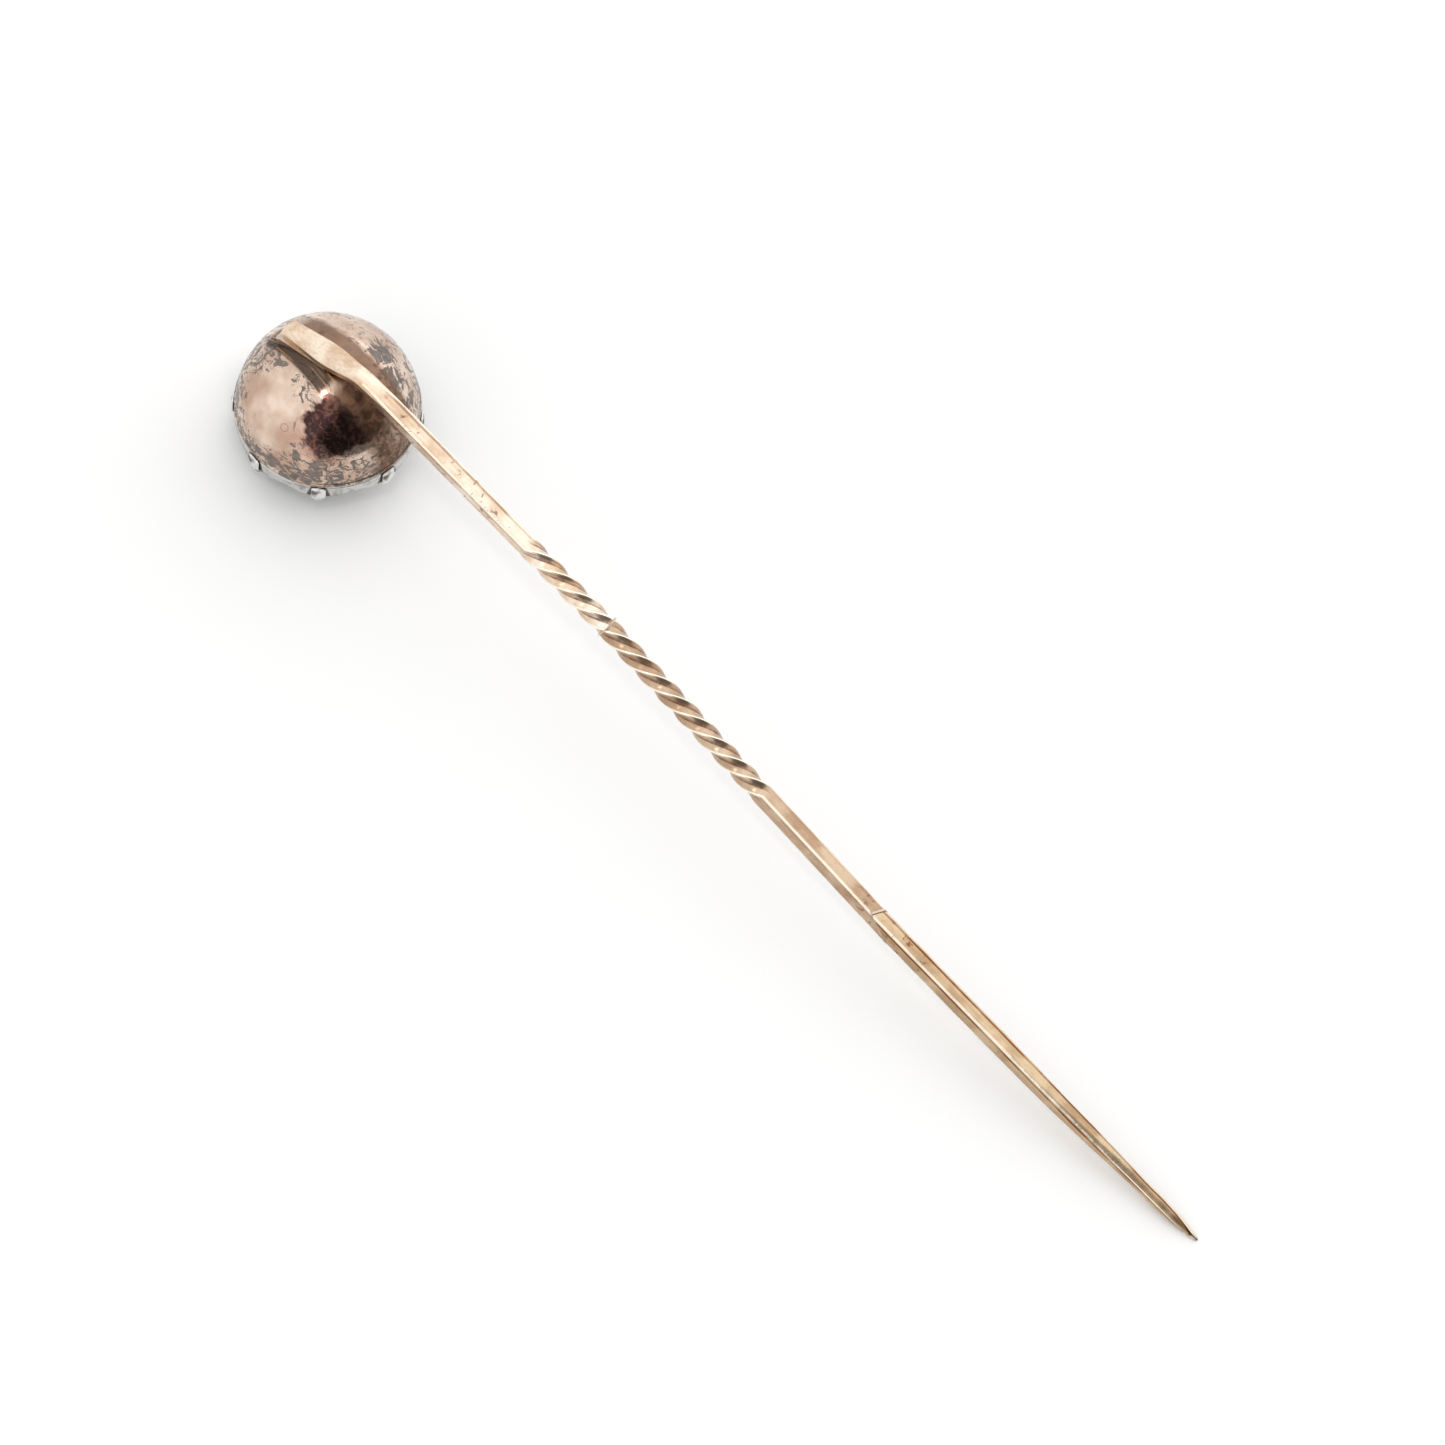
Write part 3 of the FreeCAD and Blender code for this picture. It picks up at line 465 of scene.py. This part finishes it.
collet_rings = []
for step in range(COLLET_STEPS):
    angle = math.tau * step / COLLET_STEPS
    from_claw = (math.degrees(angle) - CLAW_CLOCK) % (360 / CLAW_COUNT) - 180 / CLAW_COUNT
    aside = band * math.sin(math.radians(from_claw))
    arch = 0.0
    if abs(aside) < ARCH_RADIUS:
        arch = max(0.0, ARCH_RISE - ARCH_RADIUS + math.sqrt(ARCH_RADIUS ** 2 - aside ** 2))
    low = arch - COLLET_HEIGHT
    bore = band - COLLET_WALL
    section = [(band - 0.04, -SEAM), (band, -SEAM - 0.04), (band, -0.5 * COLLET_HEIGHT),
               (band, low + 0.06), (band - 0.06, low), (bore + 0.03, low), (bore, low + 0.03),
               (bore, -SEAM)]
    collet_rings.append([(r * math.cos(angle), r * math.sin(angle), z) for r, z in section])
collet = skin("silver_collet", collet_rings, head, ["collet"], closed=True)
collet.data.materials.append(worn_silver("worn_silver_band", "#CFCDC9", "#5C5753", beside_claws=True))

dress(("rim_solder", "bearer"), worn_silver("silver_solder_seam", "#E0DDD8", "#77726D", cad_node=True))

# ---------------------------------------------------------------------------------------------
# Claws.
# Eight lengths of half-round silver wire, soldered to the band, filed thin at the root and bent
# in over the edge of the stone.

CLAW_REACH = 0.65
CLAW_NOSE = 0.46
CLAW_THICK = 0.2
CLAW_ROOT = 0.08
CROWN_SLOPE = math.radians(36)
SEAT_GAP = 0.05
ARC_STEPS = 10

under = -COLLET_HEIGHT - CLAW_REACH * math.tan(CROWN_SLOPE) - SEAT_GAP / math.cos(CROWN_SLOPE)
tip = GIRDLE - CLAW_REACH
# Inner and outer edge of the half-round, as (radius, height), from the claw's root to its tip.
claw_run = [
    ((band, -SEAM), (band + CLAW_ROOT, -SEAM)),
    ((band, -0.3), (band + 0.8 * CLAW_THICK, -0.3)),
    ((band, -0.6), (band + CLAW_THICK, -0.6)),
    ((band, -0.9), (band + CLAW_THICK, -0.98)),
    ((band - 0.1, -COLLET_HEIGHT), (band + 0.85 * CLAW_THICK, -COLLET_HEIGHT - 0.4 * CLAW_NOSE)),
    ((band - 0.25, -COLLET_HEIGHT), (band - 0.1, -COLLET_HEIGHT - 0.8 * CLAW_NOSE)),
    ((GIRDLE + 0.1, -COLLET_HEIGHT), (GIRDLE + 0.1, -COLLET_HEIGHT - 0.95 * CLAW_NOSE)),
    ((GIRDLE - 0.2, -COLLET_HEIGHT - 0.22), (GIRDLE - 0.2, under - 0.82 * CLAW_NOSE)),
    ((tip + 0.2, under + 0.12), (tip + 0.3 * CLAW_REACH, under - 0.78 * CLAW_NOSE)),
    ((tip + 0.03, under), (tip + 0.02, under - 0.5 * CLAW_NOSE)),
]
claw_silver = worn_silver("rubbed_silver_claw", "#E6E4E1", "#6B6562")
for number in range(CLAW_COUNT):
    rings = []
    for (in_radius, in_height), (out_radius, out_height) in claw_run:
        ring = []
        for step in range(ARC_STEPS + 1):
            swing = math.pi * step / ARC_STEPS
            aside = -0.5 * CLAW_WIDTH * math.cos(swing)
            bulge = math.sin(swing) ** 0.6
            radius = in_radius + (out_radius - in_radius) * bulge
            height = in_height + (out_height - in_height) * bulge
            ring.append((radius, aside, height))
        rings.append(ring)
    turned = head @ Matrix.Rotation(math.radians(CLAW_CLOCK + number * 360 / CLAW_COUNT), 4, "Z")
    claw = skin("half_round_claw_%d" % (number + 1), rings, turned, ["claw_%d" % (number + 1)],
                crease=50)
    claw.modifiers.new("rounding", "SUBSURF").levels = 1
    claw.modifiers["rounding"].render_levels = 2
    claw.data.materials.append(claw_silver)

# ---------------------------------------------------------------------------------------------
# Stone and foil.
# A brilliant-cut stone of colourless lead glass, paste, on a cone of crumpled silver foil that
# throws the light back out through the table.

# Polished lead glass: clear, brighter than window glass, its facets a little hazed by wear.
paste, tree = new_material("polished_lead_glass")
place = add(tree, "TexCoord").outputs["Object"]
wear = add(tree, "TexNoise", place, scale=1 / (1.2 * MM), detail=5.0)
haze = add(tree, "MapRange", wear, 0.4, 0.75, 0.0, 0.06)
tint = add(tree, "Mix", wear, linear("#FFFFFF"), linear("#F6F7FA"), data_type="RGBA")
glass = add(tree, "BsdfPrincipled", base_color=tint, ior=1.6, roughness=haze, transmission_weight=1.0)
add(tree, "OutputMaterial", surface=glass)
dress(("stone",), paste)

# Crumpled mirror foil: silvered, bright, folded into small facets by the fingers.
mirror_foil, tree = new_material("crumpled_mirror_foil")
place = add(tree, "TexCoord").outputs["Object"]
folds = add(tree, "TexVoronoi", place, scale=1 / (0.9 * MM))
silvering = add(tree, "Mix", folds, linear("#F2F2F4"), linear("#C9CAD0"), data_type="RGBA")
creases = add(tree, "Bump", height=folds, strength=0.5, distance=0.03 * MM)
mirror = add(tree, "BsdfPrincipled", base_color=silvering, metallic=1.0, roughness=0.15, normal=creases)
add(tree, "OutputMaterial", surface=mirror)
dress(("foil",), mirror_foil)

# ---------------------------------------------------------------------------------------------
# Upper half of the pin.
# One length of square gold wire. Its end is hammered flat into a strap that is soldered to the
# cup; past the bend it stays square and plain, and then the first turn of the twist begins.

STRAP_RISE = 10
PIN_DROP = 19
STRAP_BACK = 1.85
STRAP_FRONT = 3.15
STRAP_THICK = 0.55
STRAP_END_WIDTH = 1.02
STRAP_WIDTH = 1.32
STRAP_BELLY = 2.8
STRAP_NECK_WIDTH = 0.96
BEND_RADIUS = 1.9
NECK_LENGTH = 2.4
WIRE_SIDE = 0.87
WIRE_CORNER = 0.09
STRAP_CORNER = 0.12
STRAP_CROWN = 0.07
SHANK_LENGTH = 11.6
TWIST_LEAD = 5.6
UPPER_TURNS = 1.0
HAND_WOBBLE = 0.012
WOBBLE_LENGTH = 0.9
WOBBLE_SEED = 1
TWIST_STEPS = 60
STRAP_STEPS = 190
HAMMER_GRAIN = 1.6
DENT_GRAIN = 0.7
DRAW_LINE = 0.16
PIT_GRAIN = 0.32
# Whole turns added to an angle, so that the remainder of its division is of one sign.
WHOLE_TURNS = 20 * math.tau

strap_level = DOME_RADIUS + SEAM + STRAP_THICK / 2
pin = head @ Matrix.Rotation(math.radians(-STRAP_RISE), 4, "Y")
pin = pin @ Matrix.Translation(Vector((STRAP_FRONT, 0, strap_level)) * MM)
pin = pin @ Matrix.Rotation(math.radians(STRAP_RISE + PIN_DROP), 4, "Y")
UPPER_END = SHANK_LENGTH + UPPER_TURNS * TWIST_LEAD


def smooth_between(stations, at):
    """Reads a smooth curve through (place, size) pairs."""
    if at <= stations[0][0]:
        return stations[0][1]
    for (start, first), (end, second) in zip(stations, stations[1:]):
        if at <= end:
            share = (at - start) / (end - start)
            share = share * share * (3 - 2 * share)
            return first + (second - first) * share
    return stations[-1][1]


def square_section(width, depth, corner, roll=0.0, crown=0.0):
    """The wire's section: a square with rounded corners, as (across, up) points.

    Crown raises the middle of its upper side, as hammering does.
    """
    points = []
    sides = ((1, 1), (-1, 1), (-1, -1), (1, -1))
    for quarter, (across, up) in enumerate(sides):
        for step in range(4):
            angle = math.pi / 2 * (quarter + step / 3)
            points.append(Vector((across * (width / 2 - corner) + corner * math.cos(angle),
                                  up * (depth / 2 - corner) + corner * math.sin(angle))))
        towards = (Vector(sides[(quarter + 1) % 4]) - Vector((across, up))) / 2
        flat = (width if quarter % 2 == 0 else depth) - 2 * corner
        last = points[-1]
        for share in (0.2, 0.4, 0.6, 0.8):
            points.append(last + towards * flat * share)
    for place in points[3:9]:
        place.y += crown * (1 - (place.x / (width / 2)) ** 2)
    turn = Matrix.Rotation(roll, 2)
    return [turn @ place for place in points]


# Without a fixed seed, the wobble below would differ each run.
noise.seed_set(WOBBLE_SEED)


def unsteady(point, seed):
    """The point moved a hair, as a hand-drawn and hammered wire is nowhere quite true."""
    where = Vector(point)
    return where + HAND_WOBBLE * noise.noise_vector(where / WOBBLE_LENGTH + Vector((seed, 0, 0)))


bend = math.radians(STRAP_RISE + PIN_DROP)
bend_reach = BEND_RADIUS * math.tan(bend / 2)
bend_length = BEND_RADIUS * bend
strap_total = STRAP_BACK + STRAP_FRONT - bend_reach
rings = []


def side_view(run):
    """Place and slope of the strap's axis, by the length run from the far end of the strap."""
    if run < strap_total:
        left = strap_total - run + bend_reach
        return Vector((-left * math.cos(bend), 0, -left * math.sin(bend))), bend
    if run < strap_total + bend_length:
        turned = bend * (1 - (run - strap_total) / bend_length)
        centre = Vector((bend_reach, 0, -BEND_RADIUS))
        return centre + BEND_RADIUS * Vector((-math.sin(turned), 0, math.cos(turned))), turned
    return Vector((bend_reach + run - strap_total - bend_length, 0, 0)), 0.0


bend_middle = strap_total + bend_length / 2
# Sizes of the section along the strap, as (run from its far end, size).
widths = ((0, STRAP_END_WIDTH), (STRAP_BELLY, STRAP_WIDTH), (bend_middle, STRAP_NECK_WIDTH),
          (bend_middle + NECK_LENGTH, WIRE_SIDE))
depths = ((0, 0.94 * STRAP_THICK), (0.5, STRAP_THICK), (bend_middle, STRAP_THICK),
          (bend_middle + NECK_LENGTH, WIRE_SIDE))
corners = ((bend_middle, STRAP_CORNER), (bend_middle + NECK_LENGTH, WIRE_CORNER))
crowns = ((1.5, 0.01), (bend_middle, STRAP_CROWN), (bend_middle + NECK_LENGTH, 0.0))
shank_run = strap_total + bend_length + SHANK_LENGTH - bend_reach
run = 0.0
while run < shank_run + 1e-6:
    centre, slope = side_view(run)
    trim = 1 - 0.1 * max(0.0, 1 - run / 0.12)
    section = square_section(smooth_between(widths, run) * trim, smooth_between(depths, run) * trim,
                             smooth_between(corners, run), crown=smooth_between(crowns, run))
    rings.append([unsteady(centre + Vector((-math.sin(slope) * up, across, math.cos(slope) * up)), 3)
                  for across, up in section])
    run += shank_run / STRAP_STEPS


def twisted_rings(start, turns, first_roll):
    """Rings of a left-handed twist, from a place on the wire's own axis."""
    steps = round(turns * TWIST_STEPS)
    made = []
    for step in range(steps + 1):
        roll = first_roll - math.tau * turns * step / steps
        section = square_section(WIRE_SIDE, WIRE_SIDE, WIRE_CORNER, roll)
        along = start + turns * TWIST_LEAD * step / steps
        made.append([Vector((along, across, up)) for across, up in section])
    return made


rings += twisted_rings(SHANK_LENGTH, UPPER_TURNS, 0.0)[1:]
upper_pin = skin("strap_and_upper_wire", rings, pin, ["pin_strap"])


def wrought_gold(name, bright, tan, grime_and_shade, twisted, first_roll, square_from, pitted, line_from,
                 line_dark):
    """Gold wire, drawn, hammered and worn: dull beige faces with fine pits and draw lines, a painted
    highlight along the corners, darker brown down the middle of each flat of the twist, and a painted
    dark reflection on one side of each corner."""
    material, tree = new_material(name)
    place = add(tree, "Attribute", attribute_name="local_mm").outputs["Vector"]
    along, across, up = add(tree, "SeparateXYZ", place).outputs

    def stretch(ends, soft):
        """1 between two places along the wire."""
        start = add(tree, "MapRange", along, ends[0] - soft, ends[0] + soft)
        end = add(tree, "MapRange", along, ends[1] + soft, ends[1] - soft)
        return add(tree, "Math", start, end, operation="MULTIPLY")

    broad = add(tree, "TexNoise", place, scale=1 / HAMMER_GRAIN, detail=4.0)
    drawn_place = add(tree, "Mapping", place, scale=(0.12, 1.0, 1.0))
    lines = add(tree, "TexNoise", drawn_place, scale=1 / DRAW_LINE, detail=3.0)
    patches = add(tree, "MapRange", broad, 0.38, 0.62)
    streaks = add(tree, "MapRange", lines, 0.3, 0.7, -0.3, 0.3)
    tone = add(tree, "Math", patches, streaks, operation="ADD", use_clamp=True)
    colour = add(tree, "Mix", tone, linear(bright), linear(tan), data_type="RGBA")

    # How far round the section a place is from the nearest corner, as an angle.
    whole_twist = math.tau * (twisted[1] - twisted[0]) / TWIST_LEAD
    turned = add(tree, "MapRange", along, twisted[0], twisted[1], 0.0, whole_twist)
    angle = add(tree, "Math", up, across, operation="ARCTAN2")
    angle = add(tree, "Math", angle, turned, operation="ADD")
    angle = add(tree, "Math", angle, WHOLE_TURNS - first_roll, operation="ADD")
    from_corner = add(tree, "Math", angle, math.pi / 2, operation="MODULO")
    from_corner = add(tree, "Math", from_corner, math.pi / 4, operation="SUBTRACT")
    off_corner = add(tree, "Math", from_corner, operation="ABSOLUTE")

    # Pits, darker brown down the middle of each flat of the twist, and a painted dark reflection on one
    # side of each corner.
    grit = add(tree, "TexNoise", place, scale=1 / PIT_GRAIN, detail=6.0, distortion=0.6)
    pits = add(tree, "MapRange", grit, 0.59, 0.67)
    pit_share = add(tree, "Math", stretch(pitted, 0.8), 0.6, 0.16, operation="MULTIPLY_ADD")
    pits = add(tree, "Math", pits, pit_share, operation="MULTIPLY")
    from_hollow = add(tree, "Math", from_corner, math.pi / 4 * 0.95, operation="SUBTRACT")
    from_hollow = add(tree, "Math", from_hollow, operation="ABSOLUTE")
    hollow = add(tree, "MapRange", from_hollow, 0.5, 0.1)
    hollow = add(tree, "Math", hollow, stretch(twisted, 0.3), operation="MULTIPLY")
    hollow_share = add(tree, "MapRange", grit, 0.3, 0.6, 0.45, 0.9)
    hollow = add(tree, "Math", hollow, hollow_share, operation="MULTIPLY")
    from_line = add(tree, "Math", from_corner, line_from, operation="SUBTRACT")
    from_line = add(tree, "Math", from_line, operation="ABSOLUTE")
    painted_dark_edge_line = add(tree, "MapRange", from_line, 0.14, 0.07, 0.0, line_dark)
    line_share = add(tree, "MapRange", broad, 0.35, 0.5, 0.5, 1.0)
    painted_dark_edge_line = add(tree, "Math", painted_dark_edge_line, line_share, operation="MULTIPLY")
    square = add(tree, "MapRange", along, square_from - 0.8, square_from + 0.4)
    painted_dark_edge_line = add(tree, "Math", painted_dark_edge_line, square, operation="MULTIPLY")
    dark = add(tree, "Math", hollow, painted_dark_edge_line, operation="MAXIMUM")
    dark = add(tree, "Math", pits, dark, operation="MAXIMUM")
    colour = add(tree, "Mix", dark, colour, linear(grime_and_shade), data_type="RGBA")

    # Painted highlight: a bright near-white line down each corner, where the roughness is also lower.
    painted_corner_highlight = add(tree, "MapRange", off_corner, 0.15, 0.07)
    painted_corner_highlight = add(tree, "Math", painted_corner_highlight, square, operation="MULTIPLY")
    corner_highlight_share = add(tree, "Math", painted_corner_highlight, 0.9, operation="MULTIPLY")
    colour = add(tree, "Mix", corner_highlight_share, colour, linear("#FFF3E0"), data_type="RGBA")
    roughness = add(tree, "MapRange", broad, 0.3, 0.7, 0.24, 0.36)
    roughness = add(tree, "Math", painted_corner_highlight, -0.12, roughness, operation="MULTIPLY_ADD")
    dents = add(tree, "TexNoise", place, scale=1 / DENT_GRAIN, detail=4.0)
    bump = add(tree, "Bump", height=lines, strength=0.25, distance=0.01 * MM)
    bump = add(tree, "Bump", height=dents, strength=0.7, distance=0.03 * MM, normal=bump)
    bump = add(tree, "Bump", height=pits, strength=0.6, distance=0.02 * MM, normal=bump, invert=True)
    metal = add(tree, "BsdfPrincipled", base_color=colour, metallic=1.0, roughness=roughness,
                normal=bump)
    add(tree, "OutputMaterial", surface=metal)
    return material


upper_pin.data.materials.append(wrought_gold(
    "hammered_and_drawn_gold", "#F0E0CC", "#D4B699", "#7A4C36", twisted=(SHANK_LENGTH, UPPER_END),
    first_roll=0.0, square_from=1.6, pitted=(2.0, 10.0), line_from=0.27, line_dark=0.6))

# Flooded gold solder: a dull lumpy skin where it ran, mottled by the flame.
gold_solder, tree = new_material("flooded_gold_solder")
place = add(tree, "TexCoord").outputs["Object"]
flow = add(tree, "TexNoise", place, scale=1 / (0.5 * MM), detail=5.0)
skin_tone = add(tree, "Mix", flow, linear("#EAD9C8"), linear("#A88E7B"), data_type="RGBA")
lumps = add(tree, "Bump", height=flow, strength=0.5, distance=0.04 * MM)
metal = add(tree, "BsdfPrincipled", base_color=skin_tone, metallic=1.0, roughness=0.28, normal=lumps)
add(tree, "OutputMaterial", surface=metal)
dress(("strap_solder", "twist_solder", "scarf_solder"), gold_solder)

# ---------------------------------------------------------------------------------------------
# Lower half of the old wire.
# The twist was broken and soldered end to end, slightly out of line; below it run two more
# turns and a plain stretch, cut off on a slant for a splice.

REPAIR_BEND = 1.75
LOWER_TURNS = 2.04
MIDDLE_LENGTH = 9.1
SCARF_LENGTH = 1.8
SCARF_EASE = 3.2

# The joint's gap is wide enough for the two halves to lean without touching.
repair_gap = SEAM + WIRE_SIDE / math.sqrt(2) * math.sin(math.radians(REPAIR_BEND))
middle = pin @ Matrix.Translation(Vector(((UPPER_END + repair_gap) * MM, 0, 0)))
middle = middle @ Matrix.Rotation(math.radians(-REPAIR_BEND), 4, "Z")
twist_end = LOWER_TURNS * TWIST_LEAD
MIDDLE_END = twist_end + MIDDLE_LENGTH
end_roll = -math.tau * (UPPER_TURNS + LOWER_TURNS)


def plain_rings(start, end, slant_at, seed):
    """Rings of plain wire whose ends lean over, little by little, to the slant of the splice."""
    made = []
    steps = round(abs(end - start) / 0.25)
    for step in range(steps + 1):
        along = start + (end - start) * step / steps
        lean = max(0.0, 1 - abs(along - slant_at) / SCARF_EASE) * SCARF_LENGTH / WIRE_SIDE
        section = square_section(WIRE_SIDE, WIRE_SIDE, WIRE_CORNER, end_roll)
        made.append([unsteady((along - lean * up, across, up), seed) for across, up in section])
    return made


rings = twisted_rings(0.0, LOWER_TURNS, -math.tau * UPPER_TURNS)
rings += plain_rings(twist_end, MIDDLE_END, MIDDLE_END, 5)[1:]
lower_wire = skin("lower_wire", rings, middle, ["pin_middle"])
lower_wire.data.materials.append(wrought_gold(
    "drawn_and_twisted_gold", "#C9B197", "#AF9076", "#6E4431", twisted=(0, twist_end),
    first_roll=-math.tau * UPPER_TURNS, square_from=-2, pitted=(MIDDLE_END - 2.2, MIDDLE_END + 0.3),
    line_from=0.27, line_dark=0.15))

# ---------------------------------------------------------------------------------------------
# Point.
# A newer, yellower piece of square wire, spliced on with a long slanted joint and filed down to
# a round neck for the pin guard and a sharp tip.

SCARF_BEND = 1.5
END_LENGTH = 23.0
TAPER_LENGTH = 16.0
WAIST_RADIUS = 0.46
GUARD_RADIUS = 0.34
GUARD_LENGTH = 1.6
TIP_LENGTH = 2.6
TIP_RADIUS = 0.05
FILE_LEAN = 1.3
FILE_PIVOT = 10
ROUND_COUNT = 48
POINT_STEPS = 150
CORNER_WEAR = 0.06

point = middle @ Matrix.Translation(Vector((MIDDLE_END * MM, 0, 0)))
point = point @ Matrix.Rotation(math.radians(SCARF_BEND), 4, "Z")
step_gap = SEAM / math.sin(math.atan(WIRE_SIDE / SCARF_LENGTH)) + WIRE_SIDE * math.sin(
    math.radians(SCARF_BEND))
# What the file leaves: distance from the tip, and radius.
filed = ((0, TIP_RADIUS), (0.1, 0.1), (0.35 * TIP_LENGTH, 0.62 * GUARD_RADIUS),
         (0.72 * TIP_LENGTH, 0.9 * GUARD_RADIUS), (TIP_LENGTH + 0.3 * GUARD_LENGTH, GUARD_RADIUS),
         (TIP_LENGTH + GUARD_LENGTH, GUARD_RADIUS),
         (0.7 * (TIP_LENGTH + GUARD_LENGTH) + 0.3 * TAPER_LENGTH, WAIST_RADIUS),
         (TAPER_LENGTH, 0.7 * WIRE_SIDE), (TAPER_LENGTH + 1, 0.8 * WIRE_SIDE))


def filed_radius(from_tip):
    """How much the file has left round the wire's middle line, by the distance from the tip."""
    for (start, first), (end, second) in zip(filed, filed[1:]):
        if from_tip <= end:
            return first + (second - first) * (from_tip - start) / (end - start)
    return filed[-1][1]


def square_reach(angle, across, up):
    """How far the unfiled wire reaches in a direction from a place inside its section."""
    turned = angle - end_roll
    cos_roll, sin_roll = math.cos(-end_roll), math.sin(-end_roll)
    y, z = across * cos_roll - up * sin_roll, across * sin_roll + up * cos_roll
    dy, dz = math.cos(turned), math.sin(turned)
    half = WIRE_SIDE / 2
    reaches = [(math.copysign(half, d) - p) / d for d, p in ((dy, y), (dz, z)) if abs(d) > 1e-6]
    reach = min(reaches)
    corner_cut = WIRE_SIDE - CORNER_WEAR - abs(y + dy * reach) - abs(z + dz * reach)
    return reach + 0.6 * min(0.0, corner_cut)


rings = []
for step in range(POINT_STEPS + 1):
    along = step_gap + (END_LENGTH - step_gap) * (1 - (1 - step / POINT_STEPS) ** 1.25)
    from_tip = END_LENGTH - along
    middle_line = math.tan(math.radians(FILE_LEAN)) * max(0.0, FILE_PIVOT - from_tip)
    file_limit = filed_radius(from_tip)
    lean = max(0.0, 1 - abs(along - step_gap) / SCARF_EASE) * SCARF_LENGTH / WIRE_SIDE
    ring = []
    for i in range(ROUND_COUNT):
        angle = math.tau * i / ROUND_COUNT + end_roll
        reach = square_reach(angle, middle_line, 0.0)
        radius = min(reach, file_limit)
        across = middle_line + radius * math.cos(angle)
        up = radius * math.sin(angle)
        place = Vector((along - lean * up, across, up))
        ring.append(unsteady(place, 9) if from_tip > TIP_LENGTH else place)
    rings.append(ring)
pin_end = skin("filed_point", rings, point, ["pin_point"], crease=60)
# It has no twist: the one given here lies before its start, and first_roll takes it off again.
pin_end.data.materials.append(wrought_gold(
    "filed_yellow_gold", "#CDB594", "#B09373", "#7D4522", twisted=(-2, -1), first_roll=end_roll
    + math.tau / TWIST_LEAD, square_from=-2, pitted=(0, 3.0), line_from=0.3, line_dark=0.95))
